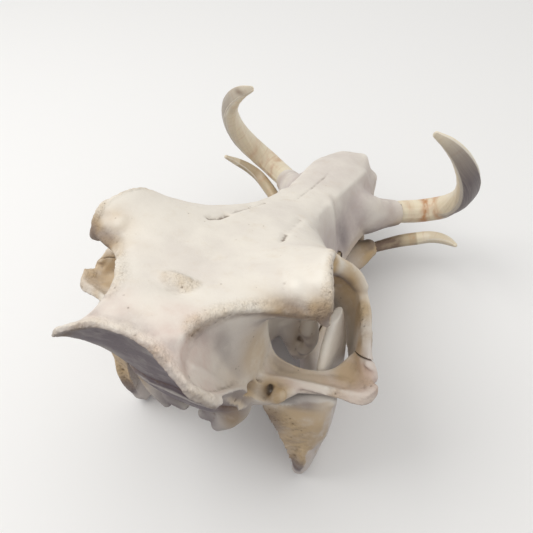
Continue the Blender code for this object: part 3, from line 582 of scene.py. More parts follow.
def loft(rings):
    """A closed surface from a grid of rings, each end shut by a fan round its centre.

    A fan's triangle is stored as a quad whose last corner repeats, so that all faces are one array.
    """
    rings = np.asarray(rings, float)
    count, sides = rings.shape[:2]
    points = np.vstack([rings.reshape(-1, 3), rings[0].mean(0), rings[-1].mean(0)])
    here = np.arange(sides)
    after = (here + 1) % sides
    last = (count - 1) * sides
    start_hub, end_hub = np.full(sides, count * sides), np.full(sides, count * sides + 1)
    start_fan = np.stack([after, here, start_hub, start_hub], axis=-1)
    end_fan = np.stack([last + here, last + after, end_hub, end_hub], axis=-1)
    return points, np.vstack([ring_grid(count, sides), start_fan, end_fan])


def round_angles(count):
    """Angles spaced evenly round a circle."""
    return np.linspace(0, 2 * math.pi, count, endpoint=False)


def superellipse(count, power):
    """Points round a swollen square: sign(cos) * |cos|^(2/power), and the same with the sine."""
    angle = round_angles(count)
    return [np.sign(wave) * np.abs(wave) ** (2 / power) for wave in (np.cos(angle), np.sin(angle))]


def sweep_rings(keys, per_span, sides, grow=0.0, outline=None):
    """Rings of an ellipse carried along a curve.

    Each ring is centre + side * cos(a) * width + up * sin(a) * height, where side is level and up is square
    to it and to the curve. outline scales the ring by a grid of factors, one for each sample and angle.
    """
    rows = catmull(keys, per_span)
    centre, half = rows[:, :3], rows[:, 3:5] + grow
    tangent = np.gradient(centre, axis=0)
    tangent /= np.linalg.norm(tangent, axis=1)[:, None]
    side = np.cross(tangent, (0.0, 0.0, 1.0))
    steep = np.linalg.norm(side, axis=1) < STEEPEST
    side[steep] = np.cross(tangent[steep], (0.0, 1.0, 0.0))
    side /= np.linalg.norm(side, axis=1)[:, None]
    up = np.cross(side, tangent)
    angle = round_angles(sides)
    ring = side[:, None] * np.cos(angle)[None, :, None] * half[:, :1, None]
    ring = ring + up[:, None] * np.sin(angle)[None, :, None] * half[:, 1:, None]
    if outline is not None:
        ring = ring * outline[..., None]
    return centre, tangent, half, ring


def sweep(keys, per_span=10, sides=28, grow=0.0, outline=None):
    """An ellipse carried along a curve, with both ends rounded off by rings that shrink like a dome's."""
    centre, tangent, half, ring = sweep_rings(keys, per_span, sides, grow, outline)
    reach = half.min(axis=1)
    share = np.sin(np.linspace(0, math.pi / 2, DOME_RINGS + 2)[1:-1])[:, None, None]
    shrink = np.sqrt(1 - share**2)
    first = centre[0] - tangent[0] * reach[0] * share + ring[0] * shrink
    last = centre[-1] + tangent[-1] * reach[-1] * share + ring[-1] * shrink
    return loft(np.concatenate([first[::-1], centre[:, None] + ring, last]))


def stack(keys, plane, per_span=10, sides=40, power=2.4):
    """A superellipse stacked along a curve, each ring in a plane of X with plane, which is Y or Z."""
    rows = catmull(keys, per_span)
    across, along = superellipse(sides, power)
    axis = np.array((0.0, 1.0, 0.0) if plane == "Y" else (0.0, 0.0, -1.0))
    wide = across[None, :, None] * np.array((1.0, 0.0, 0.0)) * rows[:, 3, None, None]
    deep = along[None, :, None] * axis * rows[:, 4, None, None]
    return loft(rows[:, None, :3] + wide + deep)


def prism(levels, per_span=10, per_side=12):
    """Flat-sided level rings joined along Z: straight between corners, smooth from ring to ring."""
    z = np.array([level for level, _ in levels], float)
    corners = np.array([ring for _, ring in levels], float)
    share = np.linspace(0, 1, per_side, endpoint=False)[None, None, :, None]
    after = np.roll(corners, -1, axis=1)
    sides = corners[:, :, None] * (1 - share) + after[:, :, None] * share
    flat = sides.reshape(len(z), -1, 2)
    rings = np.concatenate([flat, np.broadcast_to(z[:, None, None], (*flat.shape[:2], 1))], axis=2)
    return loft(catmull(rings.reshape(len(z), -1), per_span).reshape(-1, flat.shape[1], 3))


def sheet(rows, per_span=8):
    """A curved plate: a smooth surface through a grid of points, offset both ways along its normal."""
    grid = np.asarray(rows, float)
    across = np.stack([catmull(row, per_span) for row in grid])
    smooth = catmull(across.reshape(len(grid), -1), per_span).reshape(-1, across.shape[1], 4)
    place, half = smooth[..., :3], smooth[..., 3:]
    normal = np.cross(np.gradient(place, axis=0), np.gradient(place, axis=1))
    normal /= np.linalg.norm(normal, axis=2, keepdims=True)
    return slab(place + normal * half, place - normal * half)


def slab(front, back):
    """A closed plate between two grids of points, with rings that run along one and back along the other."""
    rings = np.concatenate([front, back[:, ::-1]], axis=1)
    count, sides = rings.shape[:2]
    here = np.arange(sides // 2 - 1)
    start = np.stack([sides - 1 - here, sides - 2 - here, here + 1, here], axis=-1)
    last = (count - 1) * sides
    end = last + np.stack([here, here + 1, sides - 2 - here, sides - 1 - here], axis=-1)
    return rings.reshape(-1, 3), np.vstack([ring_grid(count, sides), start, end])


def core(around=6, along=10):
    """The braincase and snout: half sections mirrored, and smoothed round the ring and along Y."""
    stations = []
    for y, half in CORE_SECTIONS:
        half = np.asarray(half, float)
        ring = np.vstack([half, (half * (-1, 1))[-2:0:-1]])
        closed = np.vstack([ring[-1:], ring, ring[:2]])
        smooth = catmull(closed, around)[around : -2 * around]
        stations.append(np.column_stack([smooth[:, 0], np.full(len(smooth), y), smooth[:, 1]]))
    stations = np.asarray(stations)
    return loft(catmull(stations.reshape(len(stations), -1), along).reshape(-1, stations.shape[1], 3))


def mirrored(shape):
    """The same shape on the animal's left."""
    points, faces = shape
    return points * (-1, 1, 1), faces[:, ::-1]


def joined(shapes):
    """Several closed shapes as one, each with its faces pointing out."""
    points, faces, base = [], [], 0
    for part_points, part_faces in shapes:
        points.append(part_points)
        faces.append(outward(part_points, part_faces) + base)
        base += len(part_points)
    return np.vstack(points), np.vstack(faces)


def both_sides(shape):
    """A shape and its mirror image."""
    return [shape, mirrored(shape)]


def make_object(name, shape):
    """A mesh object from millimetre figures. Faces whose last corners repeat become triangles."""
    points, faces = shape
    faces = outward(points, faces)
    corners = [[v for k, v in enumerate(f) if v not in f[:k]] for f in faces.tolist()]
    mesh = bpy.data.meshes.new(name)
    mesh.from_pydata(((points - ORIGIN) * MM).tolist(), [], corners)
    mesh.validate()
    obj = bpy.data.objects.new(name, mesh)
    bpy.context.scene.collection.objects.link(obj)
    return obj


def settle(obj):
    """Applies the modifiers: the evaluated mesh takes the place of the object's own."""
    graph = bpy.context.evaluated_depsgraph_get()
    graph.update()
    mesh = bpy.data.meshes.new_from_object(obj.evaluated_get(graph))
    old = obj.data
    obj.modifiers.clear()
    obj.data = mesh
    bpy.data.meshes.remove(old)


def weld(obj, voxel):
    """Fuses overlapping lofts into one skin."""
    remesh = obj.modifiers.new("Weld", "REMESH")
    remesh.mode = "VOXEL"
    remesh.voxel_size = voxel
    settle(obj)


def carve(obj, shapes, operation="DIFFERENCE"):
    """Takes the shapes away from the object, or joins them on, in one exact step."""
    tool = make_object(obj.name + "_cutter", joined(shapes))
    boolean = obj.modifiers.new("Carve", "BOOLEAN")
    boolean.operation = operation
    boolean.solver = "EXACT"
    boolean.object = tool
    settle(obj)
    bpy.data.objects.remove(tool)


def soften(obj, rounds):
    """Smooths the steps that the voxels leave."""
    smooth = obj.modifiers.new("Soften", "SMOOTH")
    smooth.iterations = rounds
    settle(obj)


def edge_ends(mesh):
    """The two vertices of each edge, as two rows of numbers."""
    ends = np.empty(len(mesh.edges) * 2, np.int32)
    mesh.edges.foreach_get("vertices", ends)
    return ends.reshape(-1, 2).T


def drop_scraps(obj):
    """Deletes the little closed scraps that a cut leaves beside the main mesh.

    Each vertex takes the lowest number among its neighbours', until all of a connected part share one.
    """
    one, two = edge_ends(obj.data)
    label, before = np.arange(len(obj.data.vertices)), None
    while before is None or (label != before).any():
        before = label
        low = np.minimum(label[one], label[two])
        label = label.copy()
        np.minimum.at(label, one, low)
        np.minimum.at(label, two, low)
        label = label[label]
    group = obj.vertex_groups.new(name="main")
    group.add(np.flatnonzero(label == np.bincount(label).argmax()).tolist(), 1, "REPLACE")
    mask = obj.modifiers.new("Main part", "MASK")
    mask.vertex_group = group.name
    settle(obj)
    obj.vertex_groups.clear()


def thin(obj, most):
    """Collapses the flattest edges until the mesh has at most the given number of triangles."""
    count = sum(len(polygon.vertices) - 2 for polygon in obj.data.polygons)
    if count > most:
        decimate = obj.modifiers.new("Thin", "DECIMATE")
        decimate.ratio = most / count
        settle(obj)


def vertex_grid(mesh):
    """The mesh's places in the animal's millimetres, and its normals."""
    places = np.empty(len(mesh.vertices) * 3, np.float32)
    mesh.vertices.foreach_get("co", places)
    normals = np.empty(len(mesh.vertices) * 3, np.float32)
    mesh.vertex_normals.foreach_get("vector", normals)
    return places.reshape(-1, 3).astype(float) / MM + ORIGIN, normals.reshape(-1, 3).astype(float)


def move_vertices(mesh, places):
    """Puts the vertices at new places, in the animal's millimetres."""
    mesh.vertices.foreach_set("co", ((places - ORIGIN) * MM).astype(np.float32).ravel())
    mesh.update()


def keep_mask(mesh, name, values):
    """Stores one share for each vertex, for the materials to read."""
    attribute = mesh.attributes.get(name) or mesh.attributes.new(name, "FLOAT", "POINT")
    attribute.data.foreach_set("value", np.clip(values, 0, 1).astype(np.float32))


def finish_piece(obj, node, material):
    """Hands a piece over: it stands for its node of the part, rides on the body and is shaded smooth."""
    obj.data.materials.clear()
    obj.data.materials.append(material)
    obj.data.polygons.foreach_set("use_smooth", np.ones(len(obj.data.polygons), bool))
    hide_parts(node)
    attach(obj, BODY)


def smooth_step(low, high, values):
    """0 below low and 1 above high, with a smooth rise between."""
    share = np.clip((values - low) / (high - low), 0, 1)
    return share * share * (3 - 2 * share)


def scatter(cell, seed):
    """A fixed pseudo-random share from 0 to 1 for each cell of a lattice."""
    mixed = (cell[..., 0] * 73856093) ^ (cell[..., 1] * 19349663) ^ (cell[..., 2] * 83492791) ^ (seed * 40503)
    mixed = ((mixed ^ (mixed >> 13)) * 1274126177) & 0x7FFFFFFF
    return ((mixed ^ (mixed >> 15)) % 65536) / 65536.0


def mottle(points, size, seed=0):
    """Value noise from -1 to 1: random values on a cubic lattice, joined by smooth steps."""
    cell = np.floor(points / size).astype(np.int64)
    share = points / size - cell
    share = share * share * (3 - 2 * share)
    total = np.zeros(len(points))
    for corner in np.ndindex(2, 2, 2):
        weight = np.prod(np.where(np.array(corner, bool), share, 1 - share), axis=1)
        total += weight * scatter(cell + np.array(corner), seed)
    return 2 * total - 1


def pits(points, size, share, reach, seed=0):
    """Round pits, one in some of the lattice's cells: 1 at a pit's middle, falling off like a bell.

    share is how many cells hold a pit, and reach is a pit's radius as a part of the cell's size.
    """
    home = np.floor(points / size).astype(np.int64)
    deepest = np.zeros(len(points))
    for step in np.ndindex(3, 3, 3):
        cell = home + np.array(step) - 1
        place = np.stack([scatter(cell, seed + k) for k in (1, 2, 3)], axis=-1)
        gap = np.linalg.norm(points / size - cell - place, axis=1)
        radius = reach * (0.5 + scatter(cell, seed + 4))
        there = scatter(cell, seed + 5) < share
        deepest = np.maximum(deepest, np.where(there, np.exp(-((gap / radius) ** 2) * 2), 0))
    return deepest


def path_gap(points, path):
    """The distance from each point to a line through the path's keys."""
    path = np.asarray(path, float)
    nearest = np.full(len(points), np.inf)
    for a, b in zip(path[:-1], path[1:]):
        along = b - a
        share = np.clip((points - a) @ along / max(along @ along, 1e-9), 0, 1)
        gap = np.linalg.norm(points - a - share[:, None] * along, axis=1)
        nearest = np.minimum(nearest, gap)
    return nearest


def bell(gap, width):
    """1 on the line and next to nothing two widths away."""
    return np.exp(-((gap / width) ** 2))


def blot(points, centre, radii):
    """A soft ellipsoid: 1 in its middle, about a third at its radii."""
    return np.exp(-(((points - np.asarray(centre)) / np.asarray(radii)) ** 2).sum(axis=1))


def eased_places(mesh, points, rounds):
    """The places of the vertices after they are averaged with their neighbours' again and again."""
    one, two = edge_ends(mesh)
    both, other = np.concatenate([one, two]), np.concatenate([two, one])
    count = np.bincount(both, minlength=len(points))[:, None]
    eased = points
    for _ in range(rounds):
        total = np.stack([np.bincount(both, eased[other, k], len(points)) for k in range(3)], axis=-1)
        eased = 0.5 * eased + 0.5 * total / count
    return eased


def hollowness(mesh, points, normals, rounds):
    """How deep each vertex lies in a hollow, in millimetres: its way to the eased place along the normal."""
    return ((eased_places(mesh, points, rounds) - points) * normals).sum(axis=1)


def relief(points, fields, way=1):
    """How far the surface stands out at each vertex, from a list of (kind, where, width, height) forms.

    A line lifts by height * exp(-(distance / width)^2), a blot by height * exp(-|offset / radii|^2). way -1
    reads the forms on the animal's left.
    """
    here = points * (way, 1, 1)
    height = np.zeros(len(points))
    for kind, where, width, lift in fields:
        if kind == "line":
            height += lift * bell(path_gap(here, where), width)
        else:
            height += lift * blot(here, where, width)
    return height


def stain(points, spots, ways=(1, -1)):
    """The strongest of the soft ellipsoids at each vertex, on the given sides."""
    mask = np.zeros(len(points))
    for centre, radii, share in spots:
        for way in ways:
            mask = np.maximum(mask, share * np.minimum(1.4 * blot(points * (way, 1, 1), centre, radii), 1))
    return mask


def rough_bands(points, bands):
    """Where old bone is rough and porous, as a share: 1 along the bands' keys, 0 from their width on."""
    mask = np.zeros(len(points))
    for path, width in bands:
        for way in (1, -1):
            gap = path_gap(points * (way, 1, 1), path)
            mask = np.maximum(mask, 1 - smooth_step(0.35 * width, width, gap))
    return mask * np.clip(0.75 + 0.45 * mottle(points, 9, 5), 0, 1)


def bone_surface(obj, settings, height, rough):
    """Adds the relief of real bone to a welded skin: swells, creases, pores and grain."""
    points, normals = vertex_grid(obj.data)
    height = height + 0.4 * mottle(points, 19, 1) + 0.2 * mottle(points, 8, 2)
    height += 0.06 * mottle(points, 3.2, 3)
    grain = mottle(points, 2.8, 6) + 0.6 * mottle(points, 1.8, 7)
    height += settings.rough_height / MM * rough * grain
    height -= settings.pore_depth / MM * rough * pits(points, 3.6, 0.7, 0.3, 11)
    height -= 0.6 * settings.pore_depth / MM * pits(points, 11.0, 0.3, 0.09, 23)
    move_vertices(obj.data, points + normals * height[:, None])


def cranium_forms():
    """All the lofts of the cranium together."""
    shapes = [core(), stack(OCCIPUT, "Y", sides=60)]
    for keys in SIDE_SWEEPS.values():
        shapes += both_sides(sweep(keys))
    for rows in SIDE_SHEETS.values():
        shapes += both_sides(sheet(rows))
    return joined(shapes)


def mandible_forms():
    """All the lofts of the mandible together."""
    shapes = [stack(SYMPHYSIS, "Z", sides=60)]
    for side in (
        stack(RAMUS, "Y"),
        prism(JAW_HEEL),
        stack(JAW_BODY, "Z"),
        sweep(CONDYLE),
        sweep(JAW_TUSK_SHEATH),
    ):
        shapes += both_sides(side)
    return joined(shapes)


def scoop():
    """The hollow behind the nuchal crest: a smooth grid from the crest's edge down, carried backwards."""
    grid = np.asarray(NECK_HOLLOW, float)
    rows = np.concatenate([(grid * (-1, 1, 1))[:, :0:-1], grid], axis=1)
    across = np.stack([catmull(row, 8) for row in rows])
    front = catmull(across.reshape(len(rows), -1), 8).reshape(-1, across.shape[1], 3)
    return slab(front, front + NECK_WAY_OUT)


def crack(path, inward, depth, half_width):
    """A wedge along a path on the bone: half_width wide outside, and a sliver at its depth.

    The ring at each sample has the corners place + out * CRACK_REACH +- across * half_width and place + in *
    depth +- across * half_width / 5, where across is square to the path and to the way in.
    """
    rows = catmull(path, 8)
    inward = np.asarray(inward) / np.linalg.norm(inward)
    across = np.cross(np.gradient(rows, axis=0), inward)
    across /= np.linalg.norm(across, axis=1)[:, None]
    rows = rows + across * (CRACK_WANDER * mottle(rows, 2.2, 31)[:, None])
    outside, inside = rows - inward * CRACK_REACH, rows + inward * depth
    corners = (outside + across * half_width, outside - across * half_width,
               inside - across * half_width / 5, inside + across * half_width / 5)
    return loft(np.stack(corners, axis=1))


def cheek_tooth(kind, ends, grow=0.0, ribs=0.0):
    """A cheek tooth as a stack of level rings from root to crown, wide as TOOTH_SWELL says.

    Its outline is a superellipse, drawn in along vertical folds by ribs * |cos(n * place)|^3, where n grows
    with the tooth's length, and its crown is drawn in last.
    """
    middle, half_length, half_width = CHEEK_TEETH[kind]
    share = (middle - ROW_BACK[1]) / (ROW_FRONT[1] - ROW_BACK[1])
    x = ROW_BACK[0] + (ROW_FRONT[0] - ROW_BACK[0]) * share
    root, crown = ends
    rows = catmull(np.array(TOOTH_SWELL), 8)
    z = root + (crown - root) * np.clip(rows[:, 0], 0, 1)
    z[[0, -1]] += grow * math.copysign(1.0, crown - root) * np.array((-1, 1))
    across, along = superellipse(TOOTH_SIDES, TOOTH_SQUARENESS)
    folds = max(2, round(half_length / FOLD_LENGTH))
    fold = 1 - ribs * np.abs(np.cos(folds * math.pi * 0.5 * (along + 1))) ** 3
    wide = across * fold
    rings = np.empty((len(rows), TOOTH_SIDES, 3))
    rings[..., 0] = x + wide[None, :] * (half_width * rows[:, 1, None] + grow)
    rings[..., 1] = middle + along[None, :] * (half_length * rows[:, 1, None] + grow)
    rings[..., 2] = z[:, None]
    return loft(rings)


def upper_peg(grow=0.0):
    """A small peg tooth under the front of the snout."""
    return sweep(UPPER_INCISOR, sides=PEG_SIDES, grow=grow)


def lower_peg(x, grow=0.0):
    """A peg tooth that leans forward from the front of the mandible."""
    return sweep([(x * spread, *rest) for spread, *rest in LOWER_INCISOR], sides=PEG_SIDES, grow=grow)


def sockets(upper, gap):
    """The holes that the cranium's or the mandible's teeth and tusks sit in, gap wider than they are."""
    ends = UPPER_ROOT_AND_CROWN if upper else LOWER_ROOT_AND_CROWN
    holes = []
    for kind in CHEEK_TEETH:
        holes += both_sides(cheek_tooth(kind, ends, gap))
    if upper:
        holes += both_sides(sweep(UPPER_TUSK, sides=UPPER_SOCKET_SIDES, grow=gap))
        holes += both_sides(upper_peg(gap))
    else:
        holes.append(sweep(LOWER_TUSK_RIGHT, sides=LOWER_SOCKET_SIDES, grow=gap))
        holes.append(mirrored(sweep(LOWER_TUSK_LEFT, sides=LOWER_SOCKET_SIDES, grow=gap)))
        for x in LOWER_INCISORS:
            holes += both_sides(lower_peg(x, gap))
    return holes


def build_cranium(settings):
    """The cranium: its lofts welded, its hollows and sockets cut, its relief and masks worked out."""
    obj = make_object("cranium_bone", cranium_forms())
    weld(obj, settings.voxel)
    hollows = [sweep(keys) for keys in CRANIUM_HOLLOWS.values()]
    carve(obj, hollows + sockets(True, SOCKET_GAP))
    for cutter in ([scoop()], both_sides(sweep(WING_CUT)), both_sides(sweep(EAR_BOWL))):
        carve(obj, cutter)
    carve(obj, both_sides(sweep(EAR_BALL)), "UNION")
    carve(obj, both_sides(sweep(EAR_HOLE)))
    weld(obj, settings.voxel)
    soften(obj, settings.smoothing)
    points, _ = vertex_grid(obj.data)
    snout = smooth_step(*SNOUT_BACK, points[:, 1]) * (1 - smooth_step(*SNOUT_TIP, points[:, 1]))
    snout *= smooth_step(*SNOUT_BASE, points[:, 2])
    points += snout[:, None] * (eased_places(obj.data, points, SNOUT_ROUNDS) - points)
    move_vertices(obj.data, points)
    height = relief(points, CRANIUM_RELIEF) + relief(points, CRANIUM_RELIEF, -1)
    height += 0.8 * mottle(points, 26, 41) * smooth_step(140, 200, points[:, 1])
    bone_surface(obj, settings, height + relief(points, CRANIUM_MARKS), rough_bands(points, CRANIUM_BANDS))
    carve(obj, [crack(*where) for where in ARCH_CRACKS])
    drop_scraps(obj)
    thin(obj, settings.most_triangles)
    mesh = obj.data
    points, normals = vertex_grid(mesh)
    tan = np.maximum(stain(points, TAN_STAINS), stain(points, CRANIUM_TAN_LEFT, (1,)))
    # Painted shade from the blots, on faces that turn back and on all of the snout from y 150 on.
    back = np.maximum(smooth_step(-0.1, 0.35, -normals[:, 1]), smooth_step(150, 200, points[:, 1]))
    pink, painted_shade = stain(points, PINK_STAINS, (1,)), back * stain(points, PAINTED_SHADE_BLOTS)
    rough, cool = rough_bands(points, CRANIUM_BANDS), stain(points, LILAC_TINT_AND_SHADE)
    keep_masks(mesh, points, normals, tan, pink, painted_shade, rough, cool)
    return obj


def build_mandible(settings):
    """The mandible: its lofts welded, its sockets cut, flat where it stands on the table."""
    obj = make_object("mandible_bone", mandible_forms())
    weld(obj, settings.voxel)
    carve(obj, sockets(False, SOCKET_GAP))
    weld(obj, settings.voxel)
    soften(obj, settings.smoothing)
    points, _ = vertex_grid(obj.data)
    height = relief(points, MANDIBLE_RELIEF) + relief(points, MANDIBLE_RELIEF, -1)
    bone_surface(obj, settings, height, rough_bands(points, MANDIBLE_BANDS))
    thin(obj, settings.most_triangles)
    mesh = obj.data
    points, _ = vertex_grid(mesh)
    move_vertices(mesh, np.column_stack([points[:, :2], np.maximum(points[:, 2], TABLE_Z)]))
    points, normals = vertex_grid(mesh)
    back = smooth_step(0.45, 0.62, -normals[:, 1]) * smooth_step(55, 62, points[:, 2])
    back = np.minimum(back + smooth_step(110, 160, points[:, 1]), 1)
    tan, pink = stain(points, JAW_TAN) * back, np.zeros(len(points))
    # Painted shade on the mandible from its blots, kept off faces that look sideways.
    painted_shade = stain(points, JAW_PAINTED_SHADE) * (1 - smooth_step(0.6, 0.9, np.abs(normals[:, 0])))
    rough, cool = rough_bands(points, MANDIBLE_BANDS), 0.6 * (1 - smooth_step(120, 140, points[:, 2]))
    keep_masks(mesh, points, normals, tan, pink, painted_shade, rough, cool)
    return obj


def keep_masks(mesh, points, normals, tan, pink, painted_shade, rough, cool):
    """Stores the stains and painted shade of a bone, and works out its grime and shade in hollows and its
    edges.

    Grime and painted shade lie in narrow hollows, painted shade inside holes and gaps and on faces that look
    down or back, and worn edges are pale.
    """
    deep = hollowness(mesh, points, normals, NARROW_ROUNDS)
    wide = hollowness(mesh, points, normals, WIDE_ROUNDS)
    edge = smooth_step(0.25, 1.6, -wide) * smooth_step(-0.2, 0.5, normals[:, 2])
    # Painted shade: faces that look down, and a little back, take the shade colour.
    down = smooth_step(0.1, 0.95, -normals[:, 2] - 0.25 * normals[:, 1])
    masks = {
        "tan": tan,
        "pink": pink,
        "painted_shade": np.maximum(painted_shade, 0.85 * down),
        "rough": rough,
        "cool": cool,
        # Grime and painted shade in narrow hollows, and painted shade inside holes and gaps.
        "dirt_and_shade": smooth_step(0.08, 0.5, deep) + stain(points, PAINTED_HOLE_SHADE),
        "edge": edge * (1 - rough) * (1 - np.minimum(tan, 1)),
    }
    for name, values in masks.items():
        keep_mask(mesh, name, values)


def facing(keys, per_span, sides, guides):
    """How much each point of a sweep looks along a guide direction, from -1 to 1.

    guides are (share, x, y, z) along the sweep, and the direction between them is interpolated.
    """
    centre, tangent, _, ring = sweep_rings(keys, per_span, sides)
    share = np.linspace(0, 1, len(centre))
    table = np.asarray(guides, float)
    guide = np.stack([np.interp(share, table[:, 0], table[:, k]) for k in (1, 2, 3)], axis=-1)
    guide -= (guide * tangent).sum(axis=1)[:, None] * tangent
    guide /= np.linalg.norm(guide, axis=1)[:, None]
    unit = ring / np.linalg.norm(ring, axis=2, keepdims=True)
    return share, (unit * guide[:, None]).sum(axis=2)


def with_ends(grid):
    """A grid of values for the rings of a sweep, carried on over its rounded ends, as one value a vertex."""
    first, last = np.repeat(grid[:1], DOME_RINGS, axis=0), np.repeat(grid[-1:], DOME_RINGS, axis=0)
    rings = np.concatenate([first, grid, last])
    return np.concatenate([rings.ravel(), [grid[0].mean(), grid[-1].mean()]])


def worn_face(share, toward, look):
    """The worn face of a tusk: the cosine of its edge's angle, where it may lie, and where it lies."""
    edge = math.cos(math.radians(look["edge_angle"]))
    span = smooth_step(look["start"], look["start"] + 0.12, share)
    return edge, span, smooth_step(edge - 0.02, edge + 0.05, toward) * span


def tusk_outline(share, toward, angle, look):
    """The radius of a tusk as a share of its ellipse's: flat on the worn face, fluted and ringed elsewhere.

    A flat cut's radius is cos(edge) / cos(angle). The flutes are sines round the tusk, and the rings a sine
    along it that leans with the angle.
    """
    edge, span, face = worn_face(share, toward, look)
    flat = np.where(toward > edge, edge / np.maximum(toward, edge), 1)
    cut = 1 + look["cut"] * span * (flat - 1) - look["hollow"] * face * smooth_step(edge, 1, toward)
    flutes = sum(height * np.sin(count * angle + start) for height, count, start in FLUTES)
    rings = RING_HEIGHT * np.sin(share * RING_WAVES + 2 * np.sin(angle))
    return cut + (flutes + rings) * (1 - 0.7 * face)


def tusk_masks(share, toward, angle, look):
    """The stains of a tusk, each as a grid of shares over its rings."""
    edge, span, face = worn_face(share, toward, look)
    places, shades = zip(*look["tone"])
    stained = edge - look["spread"]
    worn = smooth_step(stained - 0.02, stained + 0.05, toward) * span
    return {
        "wear": worn * np.interp(share, places, shades),
        "band": sum(
            strength * bell(share - place - 0.012 * np.sin(2 * angle + 40 * place), width)
            for place, width, strength in look["bands"]
        ),
        "rim": smooth_step(edge - 0.4, edge - 0.15, toward) * (1 - face) * span,
        "cream": smooth_step(look["cream_from"] - 0.01, look["cream_from"] + 0.01, share),
        "root": 1 - smooth_step(look["root_to"] - 0.1, look["root_to"], share),
    }


def tusk_marks_and_shade(obj, share, toward, look):
    """The dark marks and painted shade of a tusk: painted shade by the worn face's edge and on its underside,
    and the look's own spots.
    """
    points, normals = vertex_grid(obj.data)
    edge, span, _ = worn_face(share, toward, look)
    # Painted shade along the worn face's edge, standing for a furrow that the shape doesn't have.
    spots = with_ends(bell(toward - edge + 0.08, 0.035) * span * look["groove_shade"])
    # Painted shade on the underside of a tusk whose stain spreads, in front of y 300.
    if look["spread"]:
        spots = np.maximum(spots, 0.6 * smooth_step(0.3, 0.85, -normals[:, 2]) * (points[:, 1] > 300))
    for centre, radii, strength in look["spots"]:
        spots = np.maximum(spots, strength * blot(points, centre, radii))
    return spots


def tusk(name, keys, side, look, settings):
    """A tusk: an ellipse along its curve, with a worn face, lengthwise flutes and bands of stain.

    The attribute run holds each point's way along the curve and its place round it, for the streaks.
    """
    per_span, sides = settings.rings_per_span, settings.sides
    share, toward = facing(keys, per_span, sides, look["guides"])
    share, angle = share[:, None], round_angles(sides)[None, :]
    shape = sweep(keys, per_span, sides, outline=tusk_outline(share, toward, angle, look))
    obj = make_object(name, mirrored(shape) if side < 0 else shape)
    for mask, grid in tusk_masks(share, toward, angle, look).items():
        keep_mask(obj.data, mask, with_ends(np.broadcast_to(grid, toward.shape)))
    steps = np.linalg.norm(np.diff(sweep_rings(keys, per_span, sides)[0], axis=0), axis=1)
    run = np.concatenate([[0], np.cumsum(steps)])[:, None]
    grids = (run, 10 * np.cos(angle), 10 * np.sin(angle))
    vectors = np.stack([with_ends(np.broadcast_to(grid, toward.shape)) for grid in grids], axis=-1)
    attribute = obj.data.attributes.new("run", "FLOAT_VECTOR", "POINT")
    attribute.data.foreach_set("vector", vectors.astype(np.float32).ravel())
    keep_mask(obj.data, "marks_and_shade", tusk_marks_and_shade(obj, share, toward, look))
    return obj


def crown_masks(obj, root, crown):
    """Masks of a tooth: how near the gum each vertex lies, and the folds' hollows."""
    points, normals = vertex_grid(obj.data)
    share = (points[:, 2] - root) / (crown - root)
    keep_mask(obj.data, "gum", 1 - smooth_step(0.45, 0.95, share))
    keep_mask(obj.data, "dirt_and_shade", smooth_step(0.05, 0.35, hollowness(obj.data, points, normals, CROWN_ROUNDS)))


def add(tree, kind, inputs=None, **settings):
    """A shader node with its settings and inputs: an input is a value or another node's output."""
    node = tree.nodes.new(kind)
    for name, value in settings.items():
        setattr(node, name, value)
    for name, value in (inputs or {}).items():
        if isinstance(value, bpy.types.NodeSocket):
            tree.links.new(value, node.inputs[name])
        else:
            node.inputs[name].default_value = value
    return node


def blend(tree, share, one, other):
    """The colour one turning into the other by a share."""
    mix = tree.nodes.new("ShaderNodeMix")
    mix.data_type = "RGBA"
    for socket, value in zip((mix.inputs[0], mix.inputs[6], mix.inputs[7]), (share, one, other)):
        if isinstance(value, bpy.types.NodeSocket):
            tree.links.new(value, socket)
        else:
            socket.default_value = value
    return mix.outputs[2]


def layered(tree, base, *layers):
    """A base colour under layers of (share, colour), each laid over the ones before it."""
    for share, colour in layers:
        base = blend(tree, share, base, colour)
    return base


def sum_of(tree, *terms):
    """The sum of (output, weight) terms."""
    total = 0.0
    for output, weight in terms:
        inputs = {0: output, 1: weight, 2: total}
        total = add(tree, "ShaderNodeMath", inputs, operation="MULTIPLY_ADD").outputs[0]
    return total


def times(tree, one, other):
    """Two shares multiplied and kept between 0 and 1."""
    node = add(tree, "ShaderNodeMath", {0: one, 1: other}, operation="MULTIPLY", use_clamp=True)
    return node.outputs[0]


def noise(tree, place, size, detail=3.0, rough=0.55):
    """A noise whose patches are about the given size in metres, as its value."""
    inputs = {"Vector": place, "Scale": 1 / size, "Detail": detail, "Roughness": rough}
    return add(tree, "ShaderNodeTexNoise", inputs).outputs["Fac"]


def band_of(tree, value, low, high, to_low=0.0, to_high=1.0):
    """A value's smooth rise from low to high, given out as a rise between two other values."""
    inputs = {"Value": value, "From Min": low, "From Max": high, "To Min": to_low, "To Max": to_high}
    node = add(tree, "ShaderNodeMapRange", inputs, interpolation_type="SMOOTHSTEP")
    return node.outputs["Result"]


def masks_of(tree, *names):
    """The named masks of the mesh, as a dictionary of values."""
    return {name: add(tree, "ShaderNodeAttribute", attribute_name=name).outputs["Fac"] for name in names}


def new_group(name, colours, numbers=()):
    """An empty node group with inputs of those names, as (group, the values given to it)."""
    group = bpy.data.node_groups.new(name, "ShaderNodeTree")
    for labels, kind in ((colours, COLOUR_SOCKET), (numbers, NUMBER_SOCKET)):
        for label in labels:
            group.interface.new_socket(label, in_out="INPUT", socket_type=kind)
    for label, kind in (("Color", COLOUR_SOCKET), ("Roughness", NUMBER_SOCKET), ("Height", NUMBER_SOCKET)):
        group.interface.new_socket(label, in_out="OUTPUT", socket_type=kind)
    return group, group.nodes.new("NodeGroupInput").outputs


